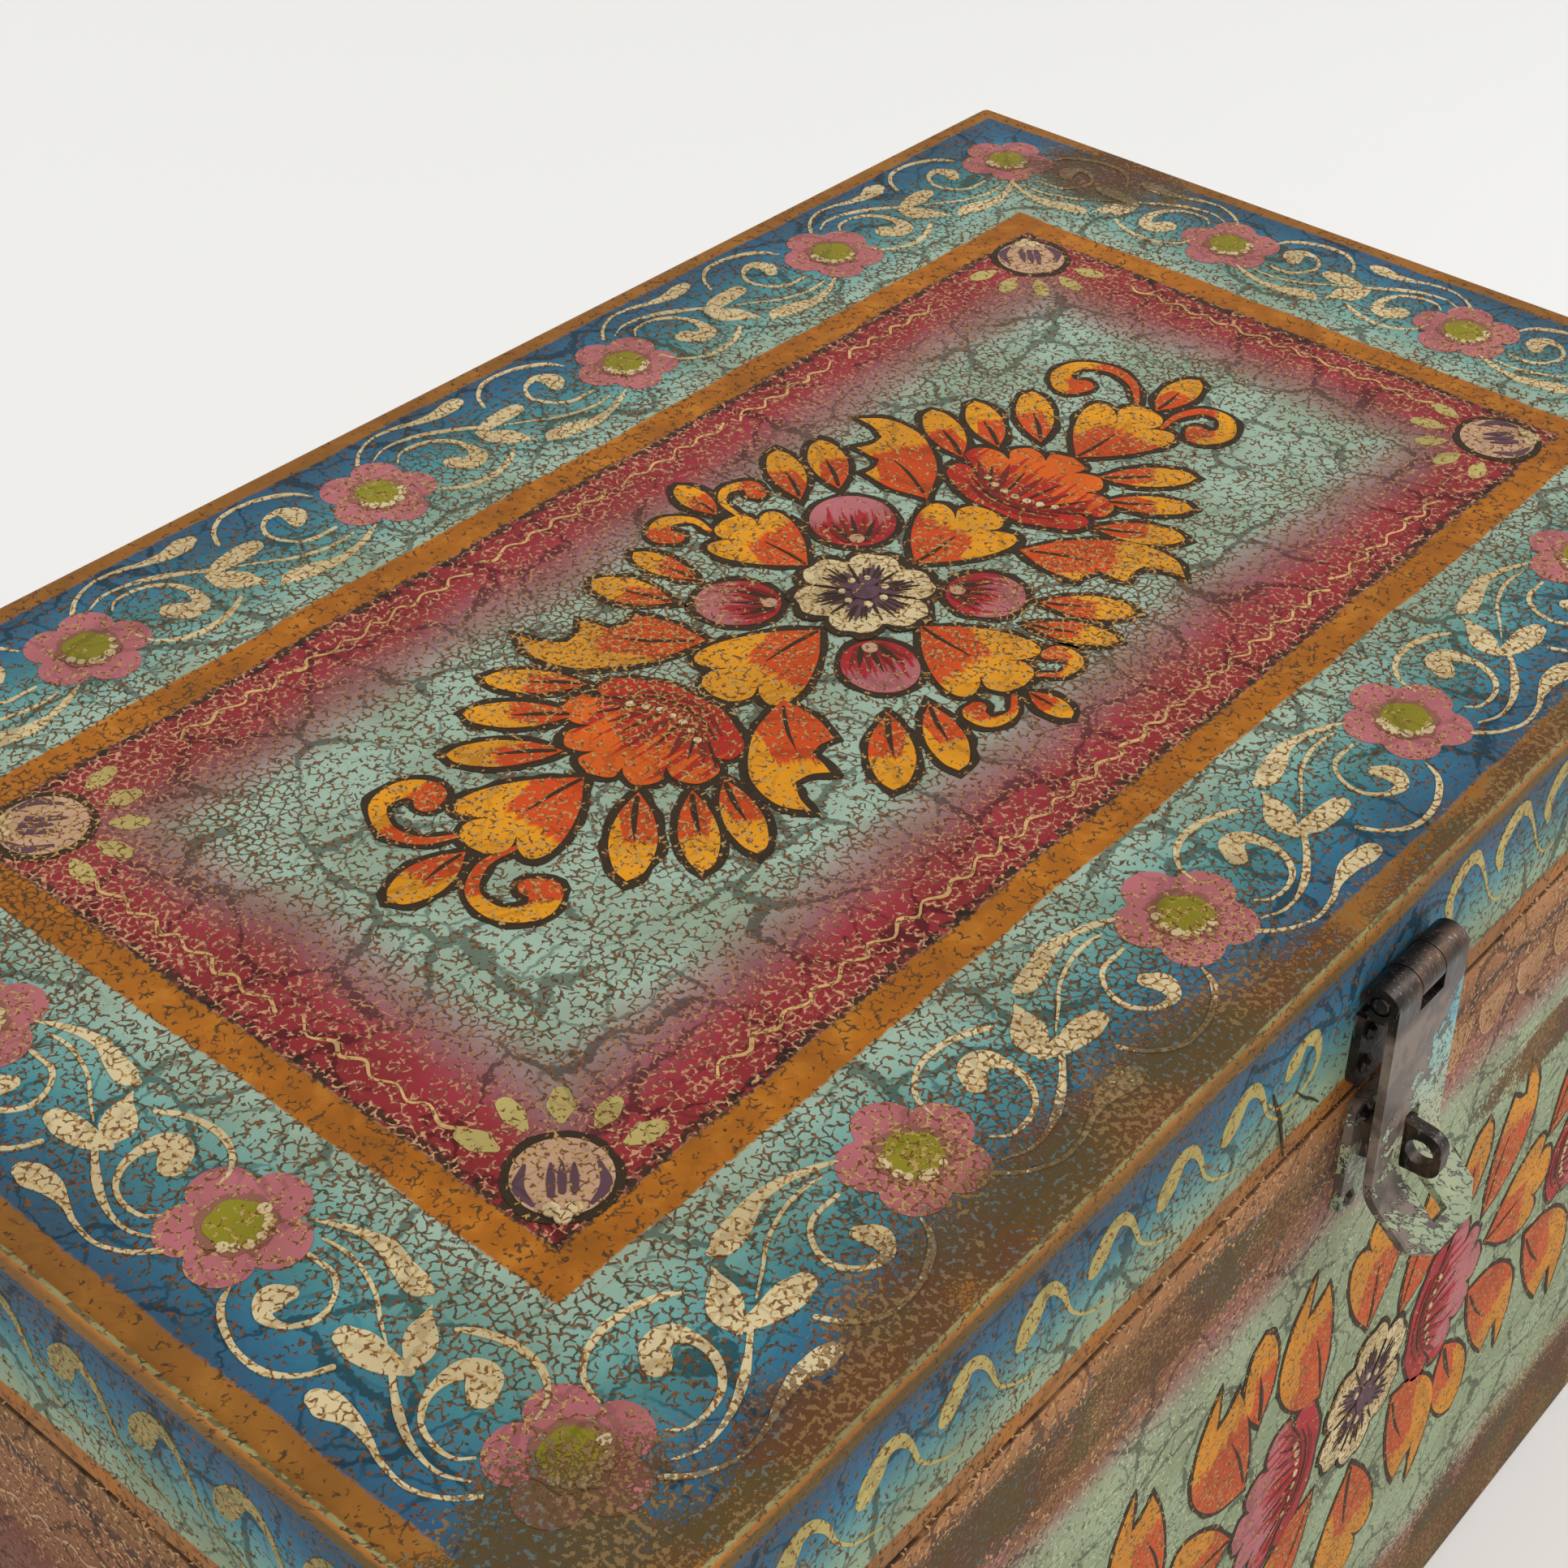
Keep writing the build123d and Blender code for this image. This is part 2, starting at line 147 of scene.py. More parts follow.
class Tree:
    """Adds nodes to a shader tree and joins or sets their inputs."""

    def __init__(self, tree):
        self.tree = tree

    def node(self, kind, inputs=None, **settings):
        made = self.tree.nodes.new(kind)
        for name, value in settings.items():
            setattr(made, name, value)
        for key, value in (inputs or {}).items():
            self.feed(made.inputs[key], value)
        return made

    def feed(self, socket, value):
        if isinstance(value, bpy.types.NodeSocket):
            self.tree.links.new(value, socket)
        else:
            socket.default_value = solid(value) if socket.type == "RGBA" else value

    def math(self, operation, first, second=0.0):
        return self.node("ShaderNodeMath", {0: first, 1: second}, operation=operation).outputs[0]

    def plus(self, first, second):
        return self.math("ADD", first, second)

    def minus(self, first, second):
        return self.math("SUBTRACT", first, second)

    def times(self, first, second):
        return self.math("MULTIPLY", first, second)

    def most(self, *values):
        return functools.reduce(lambda found, value: self.math("MAXIMUM", found, value), values)

    def least(self, *values):
        return functools.reduce(lambda found, value: self.math("MINIMUM", found, value), values)

    def split(self, vector):
        return self.node("ShaderNodeSeparateXYZ", {0: vector}).outputs

    def join(self, x, y, z=0.0):
        return self.node("ShaderNodeCombineXYZ", {0: x, 1: y, 2: z}).outputs[0]

    def vector(self, operation, first, second=(0.0, 0.0, 0.0), scale=1.0):
        made = self.node("ShaderNodeVectorMath", {0: first, 1: second}, operation=operation)
        if operation == "SCALE":
            self.feed(made.inputs["Scale"], scale)
        return made.outputs["Value"] if operation == "LENGTH" else made.outputs[0]

    def mix(self, factor, first, second, blend="MIX"):
        inputs = {0: factor, 6: first, 7: second}
        return self.node("ShaderNodeMix", inputs, data_type="RGBA", blend_type=blend).outputs[2]

    def noise(self, place, scale, detail=2.0, rough=0.5, flat=True):
        inputs = {"Vector": place, "Scale": scale, "Detail": detail, "Roughness": rough}
        return self.node("ShaderNodeTexNoise", inputs, noise_dimensions="2D" if flat else "3D").outputs[0]

    def sway(self, reach, place, scale, detail=2.0, rough=0.5):
        """Noise about zero, half of this reach either way at the most."""
        return self.times(self.minus(self.noise(place, scale, detail, rough), 0.5), reach)

    def drift(self, place, scale, detail=1.0):
        """A vector from -0.5 to 0.5 that wanders over a flat place."""
        inputs = {"Vector": place, "Scale": scale, "Detail": detail}
        colour = self.node("ShaderNodeTexNoise", inputs, noise_dimensions="2D").outputs["Color"]
        return self.vector("SUBTRACT", colour, (0.5, 0.5, 0.5))

    def moved(self, place, drift, reach):
        return self.vector("ADD", place, self.vector("SCALE", drift, scale=reach))

    def cell_edge(self, place, cell):
        """Distance to the nearest border of a net of cells, in cells."""
        inputs = {"Vector": place, "Scale": 1 / cell}
        made = self.node("ShaderNodeTexVoronoi", inputs, voronoi_dimensions="2D", feature="DISTANCE_TO_EDGE")
        return made.outputs[0]

    def ease(self, value, low, high, start=0.0, end=1.0):
        inputs = {"Value": value, "From Min": low, "From Max": high, "To Min": start, "To Max": end}
        return self.node("ShaderNodeMapRange", inputs, interpolation_type="SMOOTHSTEP").outputs[0]

    def band(self, value, low, high, soft=0.25):
        """1 where the value lies between low and high."""
        rise = self.ease(value, low - soft, low + soft)
        return self.times(rise, self.ease(value, high + soft, high - soft))

    def ramp(self, value, reach, stops):
        """A colour for a value from 0 to reach, by a few stops."""
        made = self.node("ShaderNodeValToRGB", {0: self.math("DIVIDE", value, reach)})
        elements = made.color_ramp.elements
        while len(elements) < len(stops):
            elements.new(1.0)
        for element, (place, colour) in zip(elements, stops):
            element.position = place / reach
            element.color = solid(colour)
        return made.outputs[0]

    def grouped(self, group, **inputs):
        made = self.node("ShaderNodeGroup")
        made.node_tree = group
        for name, value in inputs.items():
            self.feed(made.inputs[name.capitalize()], value)
        return made.outputs


def shared_group(name, inputs, outputs):
    """A new node group with named float, vector or colour sockets, and a Tree to fill it."""
    tree = bpy.data.node_groups.new(name, "ShaderNodeTree")
    for label, kind in inputs.items():
        tree.interface.new_socket(name=label, in_out="INPUT", socket_type="NodeSocket" + kind)
    for label, kind in outputs.items():
        tree.interface.new_socket(name=label, in_out="OUTPUT", socket_type="NodeSocket" + kind)
    fill = Tree(tree)
    return tree, fill, fill.node("NodeGroupInput").outputs, fill.node("NodeGroupOutput").inputs


GRAIN_STRETCH = (0.06, 1.0, 1.0)
SPECULAR = 0.12
IRON_SPECULAR = 0.5
RELIEF = 0.6
TONE_DEEP = (0.66, 0.62, 0.55)
CRACK_DEEP = (0.3, 0.29, 0.28)
VARNISH = 0.15
VARNISH_TONE = (118, 88, 52)
WORN_MORE = 0.42
FOOT_REACH = (22.0, -10.0)


def aged_paint(name, spots, worn, foot):
    """Old paint: slow changes of tone, thin and wide cracks, flecks, and brown where hands rubbed it."""
    inputs = {"Paint": "Color", "Place": "Vector", "Flat": "Vector", "Fleck": "Color", "Other": "Color",
              "Amount": "Float", "Hold": "Float", "Rub": "Float"}
    outputs = {"Colour": "Color", "Height": "Float", "Rough": "Float"}
    tree, t, given, result = shared_group(name, inputs, outputs)
    flat = given["Flat"]
    quick = t.drift(flat, 0.8)
    slow = t.drift(flat, 0.055, 2.0)
    waves = t.split(slow)
    grit = t.noise(flat, 1.1, 3.0, 0.6)
    paint = given["Paint"]
    deep = t.mix(1.0, paint, TONE_DEEP, "MULTIPLY")
    paint = t.mix(t.ease(waves[0], -0.16, 0.16, 0.0, 0.6), paint, deep)
    paint = t.mix(VARNISH, paint, VARNISH_TONE)
    cracks = t.times(crack_mask(t, flat, quick, slow, waves), t.minus(1.0, given["Hold"]))
    crack_colour = t.mix(1.0, paint, CRACK_DEEP, "MULTIPLY")
    paint = t.mix(t.times(cracks, 0.9), paint, crack_colour)
    flecks = fleck_mask(t, flat, quick, waves, given["Amount"], worn)
    fleck_colour = t.mix(t.ease(grit, 0.47, 0.53), given["Fleck"], given["Other"])
    paint = t.mix(t.times(flecks, 0.92), paint, fleck_colour)
    rub = t.times(rub_mask(t, given["Place"], waves, grit, spots, foot), given["Rub"])
    paint = t.mix(t.times(rub, 0.94), paint, rub_colour(t, waves, grit))
    t.feed(result["Colour"], paint)
    t.feed(result["Height"], t.noise(flat, 1.7, 2.0, 0.6))
    rough = t.ease(grit, 0.25, 0.75, 0.5, 0.64)
    t.feed(result["Rough"], t.plus(rough, t.times(t.most(flecks, rub), 0.12)))
    return tree


def crack_mask(t, flat, quick, slow, waves):
    """A net of thin cracks and a wider, coarser one, both of which fade in and out over the surface."""
    size = sizes()
    thin_place = t.moved(t.moved(flat, quick, 1.1), slow, 8.0)
    thin_edge = t.times(t.cell_edge(thin_place, size.craze_cell), size.craze_cell)
    thin = t.ease(thin_edge, 0.08, 0.42, 1.0, 0.0)
    thin = t.times(thin, t.ease(waves[2], -0.12, 0.06, 0.15, 0.8))
    wide_place = t.moved(t.moved(flat, quick, 1.7), slow, 14.0)
    wide_edge = t.times(t.cell_edge(wide_place, size.crack_cell), size.crack_cell)
    swell = t.ease(t.minus(waves[2], waves[1]), -0.16, 0.14, 0.12, size.crack_wide / 2)
    wide = t.ease(t.minus(swell, wide_edge), -0.26, 0.14)
    return t.most(wide, thin)


def fleck_mask(t, flat, quick, waves, amount, worn):
    """Short broken flecks along a fine net of cells, more of them on worn places."""
    for centre, reach in worn:
        offset = t.vector("DIVIDE", t.vector("SUBTRACT", flat, (*centre, 0.0)), (*reach, 1.0))
        more = t.ease(t.vector("LENGTH", offset), 1.0, 0.4, 0.0, WORN_MORE)
        amount = t.plus(amount, more)
    edge = t.cell_edge(t.moved(flat, quick, 1.25), sizes().fleck_cell)
    gate = t.plus(t.noise(flat, 0.62, 2.0), t.times(waves[1], 0.32))
    opened = t.minus(0.76, t.times(amount, 0.5))
    half = t.ease(t.minus(gate, opened), 0.0, 0.09, 0.0, 0.15)
    return t.ease(t.minus(half, edge), 0.0, 0.04)


def rub_mask(t, place, waves, grit, spots, foot):
    """Where hands and floors have rubbed the paint: at the foot, and round a few spots."""
    soft = t.ease(t.split(place)[2], foot + FOOT_REACH[0], foot + FOOT_REACH[1])
    for centre, reach in spots:
        offset = t.vector("DIVIDE", t.vector("SUBTRACT", place, centre), reach)
        soft = t.most(soft, t.ease(t.vector("LENGTH", offset), 1.0, 0.25))
    soft = t.times(soft, t.ease(waves[0], -0.2, 0.0, 0.5, 1.0))
    broken = t.plus(soft, t.times(t.minus(grit, 0.5), 1.7))
    return t.times(t.ease(broken, 0.34, 0.46), t.ease(soft, 0.02, 0.25))


def rub_colour(t, waves, grit):
    """The brown of rubbed places, with tan and bluish specks of what is left of the paint."""
    brown = t.mix(t.ease(waves[1], -0.1, 0.12), colours().rubbed, (84, 68, 38))
    pale = t.ease(t.minus(grit, t.times(waves[2], 0.3)), 0.55, 0.61)
    glint = t.mix(t.ease(waves[2], -0.05, 0.08), (160, 126, 80), (96, 124, 130))
    return t.mix(t.times(pale, 0.55), brown, glint)


def bare_wood():
    """Pale softwood with long grain along X."""
    outputs = {"Colour": "Color", "Height": "Float"}
    tree, t, given, result = shared_group("Bare wood", {"Place": "Vector"}, outputs)
    stretched = t.vector("MULTIPLY", given["Place"], GRAIN_STRETCH)
    rings = t.noise(stretched, 0.16, 2.0, 0.6, flat=False)
    fibres = t.noise(stretched, 2.2, 1.0, 0.7, flat=False)
    shade = t.plus(t.times(rings, 0.75), t.times(fibres, 0.25))
    wood = colours().wood
    dark = [part * 0.52 for part in wood]
    light = [min(1.0, part * 1.25) for part in wood]
    t.feed(result["Colour"], t.ramp(shade, 1.0, [(0.3, dark), (0.5, wood), (0.68, light)]))
    t.feed(result["Height"], fibres)
    return tree


LID_RUBS = [
    ((-80.0, -98.0, 214.0), (115.0, 20.0, 9.0)),
    ((70.0, -99.0, 214.0), (150.0, 11.0, 7.0)),
    ((-152.0, -90.0, 214.0), (34.0, 26.0, 12.0)),
    ((150.0, 58.0, 214.0), (17.0, 26.0, 10.0)),
    ((60.0, 100.0, 214.0), (60.0, 7.0, 6.0)),
]
LID_WORN = [
    ((-26.0, 25.0), (32.0, 21.0)),
    ((25.0, -27.0), (30.0, 18.0)),
    ((-38.0, 4.0), (12.0, 12.0)),
    ((-112.0, 40.0), (40.0, 26.0)),
    ((-60.0, -84.0), (60.0, 16.0)),
]
CASE_RUBS = [
    ((-70.0, -96.0, 168.0), (95.0, 20.0, 12.0)),
    ((74.0, -96.0, 140.0), (46.0, 20.0, 9.0)),
    ((96.0, -96.0, 172.0), (40.0, 20.0, 9.0)),
]
CASE_FOOT = 22.0
LID_FOOT = -100.0

GROUPS = {}


def make_groups():
    """Builds the effects that several materials share, once."""
    GROUPS["lid"] = aged_paint("Aged paint of the lid", LID_RUBS, LID_WORN, LID_FOOT)
    GROUPS["case"] = aged_paint("Aged paint of the case", CASE_RUBS, [], CASE_FOOT)
    GROUPS["wood"] = bare_wood()


def new_material(name):
    """A material with an empty tree and its Principled shader, and the place on the box in mm."""
    material = bpy.data.materials.new(name)
    material.use_nodes = True
    t = Tree(material.node_tree)
    shader = material.node_tree.nodes["Principled BSDF"]
    shader.inputs["Specular IOR Level"].default_value = SPECULAR
    given = t.node("ShaderNodeTexCoord").outputs["Object"]
    place = t.vector("SCALE", given, scale=1 / MM)
    place = t.vector("SUBTRACT", place, (0.0, MIDDLE_Y, 0.0))
    return material, t, shader, place


def finish_paint(t, shader, colour, height, rough, depth=0.12):
    """Joins a paint's colour, relief and roughness to its shader."""
    bump = t.node("ShaderNodeBump", {"Height": height, "Strength": RELIEF, "Distance": depth * MM})
    t.feed(shader.inputs["Base Color"], colour)
    t.feed(shader.inputs["Roughness"], rough)
    t.feed(shader.inputs["Normal"], bump.outputs[0])


PAINT_DEPTH = (1.0, 1.5)


def finish_board(t, shader, place, across, colour, height, rough):
    """Joins a board's paint to its shader, with bare wood where it lies deeper, as inside the box."""
    bare = t.ease(t.least(inset_from_edge(t, place), drop_from_top(t, place)), *PAINT_DEPTH)
    x, y, z = t.split(place)
    wood = t.grouped(GROUPS["wood"], place=t.join(y, x, z) if across == 1 else place)
    colour = t.mix(bare, colour, wood["Colour"])
    finish_paint(t, shader, colour, height, t.plus(rough, t.times(bare, 0.18)))


def flat_place(t, place, across):
    """The place on one face as a flat picture: across 0 runs along X, 1 along Y, and 2 is the top."""
    x, y, z = t.split(place)
    below = t.minus(z, HEIGHT)
    if across == 2:
        return t.join(t.plus(x, t.times(below, 0.6)), t.plus(y, below))
    return t.join(t.plus(x, y), below)


def age(t, body, place, flat, colour, flecks, amount, hold=0.0, rub=1.0):
    """Ages a colour with the group of its body. Returns the colour, relief and roughness."""
    made = t.grouped(GROUPS[body], paint=colour, place=place, flat=flat, fleck=flecks[0], other=flecks[1],
                     amount=amount, hold=hold, rub=rub)
    return made["Colour"], made["Height"], made["Rough"]


def inset_from_edge(t, place):
    """Distance in mm from the lid's edge, seen from above."""
    x, y, _ = t.split(place)
    from_end = t.minus(HALF_LONG, t.math("ABSOLUTE", x))
    from_side = t.minus(HALF_DEEP, t.math("ABSOLUTE", y))
    return t.least(from_end, from_side)


def drop_from_top(t, place):
    """Distance in mm below the lid's top."""
    return t.minus(HEIGHT, t.split(place)[2])


def hand_edge(t, flat, value, slow=0.7, quick=0.35):
    """A distance with the small waver of a brushed edge."""
    waver = t.sway(slow * 2, flat, 0.05, 1.0)
    ragged = t.sway(quick * 2, flat, 0.9)
    return t.plus(value, t.plus(waver, ragged))


def misted(t, flat, value, reach):
    """A distance moved by clouds, for colours that were sprayed or dabbed into each other."""
    drift = t.sway(reach * 2, flat, 0.035)
    grit = t.sway(reach * 0.9, flat, 0.8, 2.0, 0.7)
    return t.plus(value, t.plus(drift, grit))


def dark_line(t, flat, inset, low, high):
    """The broken black line round a panel, as a mask."""
    rough_edge = hand_edge(t, flat, inset, 0.8, 1.1)
    breaks = t.ease(t.noise(flat, 0.4, 3.0, 0.65), 0.4, 0.48)
    return t.times(t.band(rough_edge, low, high, 0.3), breaks)


SIDE_GROUND = [(6.0, (46, 86, 114)), (10.0, (24, 104, 142)), (14.5, (46, 128, 156)), (20.0, (106, 162, 158)),
               (26.0, (150, 174, 146))]
SIDE_EDGE = [(0.4, (112, 88, 40)), (0.8, (172, 166, 112)), (1.5, (160, 158, 104)), (1.9, (204, 122, 26)),
             (2.6, (182, 112, 30)), (3.3, (104, 84, 36)), (5.0, (104, 82, 38))]
SIDE_BAND = [(0.35, (176, 108, 36)), (0.62, (158, 108, 62))]
SIDE_GLOW = (166, 110, 38)
BEAD_GONE = (96, 80, 38)
# Colour of the painted shade in the gap of the seam between the lid and the case.
SEAM_SHADE_COLOUR = (44, 26, 15)
BAND_WIDE = 5.0
SOFT_EDGE = 0.5


def side_colours(t, flat, drop):
    """The lid's sides: a bead, an ochre edge, blue fading to green, a band over the seam, and painted shade
    in the seam's gap.

    Returns their colour, and a mask of the edge and the band.
    """
    ground = t.ramp(misted(t, flat, drop, 2.2), 40.0, SIDE_GROUND)
    line = hand_edge(t, flat, drop, 0.5, 0.4)
    edge = t.ramp(line, 8.0, SIDE_EDGE)
    glow = t.ease(t.noise(flat, 0.018, 1.0), 0.46, 0.6)
    edge = t.mix(t.times(glow, t.ease(line, 1.9, 2.6, 0.0, 0.5)), edge, SIDE_GLOW)
    missing = t.times(t.ease(t.noise(flat, 0.3, 3.0, 0.7), 0.5, 0.58), t.ease(line, 1.8, 1.5))
    edge = t.mix(t.times(missing, 0.8), edge, BEAD_GONE)
    on_edge = t.ease(line, 5.4, 5.0)
    band = t.ease(line, LID_DEEP - BAND_WIDE, LID_DEEP - BAND_WIDE + SOFT_EDGE)
    tan = t.ramp(t.noise(flat, 0.09, 3.0), 1.0, SIDE_BAND)
    colour = t.mix(band, t.mix(on_edge, ground, edge), tan)
    # The dark line along the seam is painted shade for the gap between the lid and the case.
    return t.mix(seam_shade(t, flat, drop), colour, SEAM_SHADE_COLOUR), t.most(band, on_edge)


def seam_shade(t, flat, drop):
    """Painted shade in the narrow gap of the seam between the lid and the case, as a mask."""
    # This mask only makes the painted seam shade stronger in some places than in others.
    worn = t.ease(t.noise(flat, 0.12, 3.0, 0.6), 0.3, 0.5, 0.5, 0.95)
    return t.times(t.band(drop, LID_DEEP - 0.5, LID_DEEP + 0.5, 0.25), worn)


TOP_REACH = 80.0
TOP_AMOUNTS = [(3.0, 0.42), (9.0, 0.56), (18.0, 0.66), (30.0, 0.74), (34.4, 0.7), (34.7, 0.5), (40.2, 0.54),
               (40.8, 0.66), (54.0, 0.74), (64.0, 0.72), (76.0, 0.66)]
OUTER_BROWN = (122, 90, 40)


def top_ground(t, flat, inset, line, panel):
    """The top under its bands: blue fading to green, and inside the panel crimson fading to green."""
    c = colours()
    soft = misted(t, flat, inset, 3.2)
    border = [(5.0, c.deep_blue), (11.0, (10, 108, 142)), (19.0, c.turquoise), (26.0, (120, 176, 168)),
              (33.0, c.sea_green)]
    middle = [(46.0, c.crimson), (50.0, (158, 40, 62)), (54.5, c.mauve), (59.0, (160, 146, 140)),
              (64.0, c.sea_green)]
    inside = t.ease(line, panel - 0.3, panel + 0.3)
    return t.mix(inside, t.ramp(soft, TOP_REACH, border), t.ramp(soft, TOP_REACH, middle))


def top_bands(t, flat, line, panel):
    """The two ochre bands, as a colour and a mask."""
    size = sizes()
    shades = [(0.3, (166, 98, 14)), (0.55, colours().ochre), (0.7, (196, 124, 34))]
    ochre = t.ramp(t.noise(flat, 0.2, 3.0), 1.0, shades)
    outer = t.ease(line, size.outer_band + 0.3, size.outer_band - 0.3)
    ochre = t.mix(t.times(outer, 0.55), ochre, OUTER_BROWN)
    return ochre, t.most(t.band(line, size.border_wide, panel), outer)


def top_paint():
    """The lid's top: ochre bands, blue to green border, dark line, crimson edge and green panel."""
    material, t, shader, place = new_material("painted_top")
    flat = flat_place(t, place, 2)
    panel = sizes().border_wide + sizes().inner_band
    inset = inset_from_edge(t, place)
    line = hand_edge(t, flat, inset)
    ochre, bands = top_bands(t, flat, line, panel)
    colour = t.mix(bands, top_ground(t, flat, inset, line, panel), ochre)
    black = dark_line(t, flat, inset, panel - 0.1, panel + 1.6)
    colour = t.mix(t.times(black, 0.95), colour, colours().dark_line)
    brown = colours().fleck_brown
    pale = [(panel, brown), (panel + 0.5, (204, 156, 116)), (54.0, (176, 128, 94)), (61.0, brown)]
    dark = [(panel, (66, 54, 34)), (panel + 0.5, (146, 88, 70)), (52.0, (104, 64, 50)), (62.0, (70, 56, 36))]
    flecks = (t.ramp(inset, TOP_REACH, pale), t.ramp(inset, TOP_REACH, dark))
    amount = t.ramp(inset, TOP_REACH, TOP_AMOUNTS)
    drop = drop_from_top(t, place)
    on_side = t.ease(drop, 0.5, 0.8)
    colour = t.mix(on_side, colour, side_colours(t, flat, drop)[0])
    hold = t.times(t.most(bands, on_side), 0.85)
    rub = t.ease(on_side, 0.0, 1.0, 1.0, 0.25)
    aged = age(t, "lid", place, flat, colour, flecks, amount, hold, rub)
    finish_board(t, shader, place, 2, *aged)
    return material


DARK_FLECKS = ((122, 84, 42), (66, 54, 36))


def side_paint(name, across):
    """The lid's rims, front and back or the two ends."""
    material, t, shader, place = new_material(name)
    flat = flat_place(t, place, across)
    colour, bands = side_colours(t, flat, drop_from_top(t, place))
    aged = age(t, "lid", place, flat, colour, DARK_FLECKS, 0.56, t.times(bands, 0.6), 0.25)
    finish_board(t, shader, place, across, *aged)
    return material


PANEL_REACH = 60.0
FRONT_GROUND = [(0.0, (184, 126, 76)), (6.0, (166, 112, 72)), (9.5, (128, 78, 56)), (15.0, (144, 78, 72)),
                (21.0, (164, 96, 104)), (27.0, (166, 142, 130)), (32.0, (162, 174, 142)),
                (46.0, (156, 174, 140))]
FRONT_FLECK = (186, 192, 158)
PLAIN_GROUND = [(0.0, (150, 106, 66)), (6.0, (132, 90, 52)), (9.5, (108, 52, 44)), (13.0, (128, 44, 46)),
                (20.0, (122, 50, 48)), (34.0, (118, 72, 60))]
PLAIN_FLECK = (146, 100, 74)
PANEL_AMOUNTS = [(0.0, 0.56), (10.0, 0.7), (22.0, 0.64), (32.0, 0.56), (50.0, 0.54)]
PANEL_RUST = (142, 92, 62)
PANEL_LINE = (50, 42, 46)


def panel_paint(name, across, stops, fleck):
    """A side of the case: a worn tan edge, a dark line and a ring of red round its panel."""
    material, t, shader, place = new_material(name)
    flat = flat_place(t, place, across)
    half = HALF_DEEP if across else HALF_LONG
    from_end = t.minus(half, t.math("ABSOLUTE", t.split(place)[across]))
    drop = drop_from_top(t, place)
    inset = t.least(from_end, t.minus(drop, LID_DEEP), t.minus(HEIGHT, drop))
    soft = misted(t, flat, inset, 3.0)
    rust = t.times(t.ease(t.noise(flat, 0.016), 0.42, 0.6), t.band(soft, 6.0, 26.0, 3.0))
    ground = t.mix(rust, t.ramp(soft, PANEL_REACH, stops), PANEL_RUST)
    black = dark_line(t, flat, inset, 7.4, 9.6)
    ground = t.mix(t.times(black, 0.85), ground, PANEL_LINE)
    # Painted shade along the seam at the top of the case, in the gap under the lid.
    ground = t.mix(seam_shade(t, flat, drop), ground, SEAM_SHADE_COLOUR)
    deep = rgb(*(part * 0.6 for part in stops[-1][1]))
    pale = t.ramp(inset, PANEL_REACH, [(4.0, (196, 156, 110)), (24.0, (196, 152, 106)), (31.0, fleck)])
    dark = t.ramp(inset, PANEL_REACH, [(24.0, (84, 56, 38)), (31.0, deep)])
    amount = t.ramp(inset, PANEL_REACH, PANEL_AMOUNTS)
    finish_board(t, shader, place, across, *age(t, "case", place, flat, ground, (pale, dark), amount))
    return material


def wood_material():
    """Bare wood of the bottom board."""
    material, t, shader, place = new_material("bare_wood")
    wood = t.grouped(GROUPS["wood"], place=place)
    rough = t.ease(wood["Height"], 0.2, 0.8, 0.62, 0.74)
    finish_paint(t, shader, wood["Colour"], wood["Height"], rough, 0.15)
    return material


STROKE_FLECKS = ((104, 64, 30), (182, 148, 92))
COLOUR_MEET = 0.58


def stroke_paint(name, body, base, tip, streaks, amount):
    """Brushed paint on a film. Its base colour meets its tip colour, if any, further up on one side."""
    material, t, shader, place = new_material(name)
    flat = t.node("ShaderNodeAttribute", attribute_name="spot").outputs["Vector"]
    colour = base
    if tip is not None:
        brush = t.node("ShaderNodeAttribute", attribute_name="brush").outputs["Vector"]
        along, across, seed = t.split(brush)
        hair_place = t.join(t.plus(t.times(across, 7.0), seed), along)
        hairs = t.sway(streaks, hair_place, 1.1, 3.0, 0.65)
        edge = t.ease(across, -0.62, -0.3, COLOUR_MEET - 0.36 + 0.3 * min(streaks, 1.0), COLOUR_MEET)
        turn = t.ease(t.minus(t.plus(along, hairs), edge), -0.03, 0.03)
        colour = t.mix(turn, base, tip)
    finish_paint(t, shader, *age(t, body, place, flat, colour, STROKE_FLECKS, amount, 0.6, 0.9))
    return material


class Side:
    """A flat painted face of the box, with places in mm across and up from its own centre line."""

    def __init__(self, centre, across, up):
        self.centre = Vector(centre) * MM
        self.across = Vector(across)
        self.up = Vector(up)
        self.out = self.across.cross(self.up)
        self.handed = self.across.x + self.across.y
        self.shift = centre[0] * abs(self.out.x) + (centre[1] - MIDDLE_Y) * abs(self.out.y)

    def at(self, x, y, lift):
        return self.centre + (self.across * x + self.up * y + self.out * lift) * MM


LID_TOP = Side((0, MIDDLE_Y, HEIGHT), (1, 0, 0), (0, 1, 0))
FRONT = Side((0, CASE[0][1] / MM, HEIGHT), (1, 0, 0), (0, 0, 1))
BACK_SIDE = Side((0, BACK[1][1] / MM, HEIGHT), (-1, 0, 0), (0, 0, 1))
LEFT_END = Side((-HALF_LONG, MIDDLE_Y, HEIGHT), (0, -1, 0), (0, 0, 1))
RIGHT_END = Side((HALF_LONG, MIDDLE_Y, HEIGHT), (0, 1, 0), (0, 0, 1))


def outline_width(side):
    """How wide the dark outlines are on a side of the box."""
    return sizes().front_outline if side is FRONT else sizes().outline


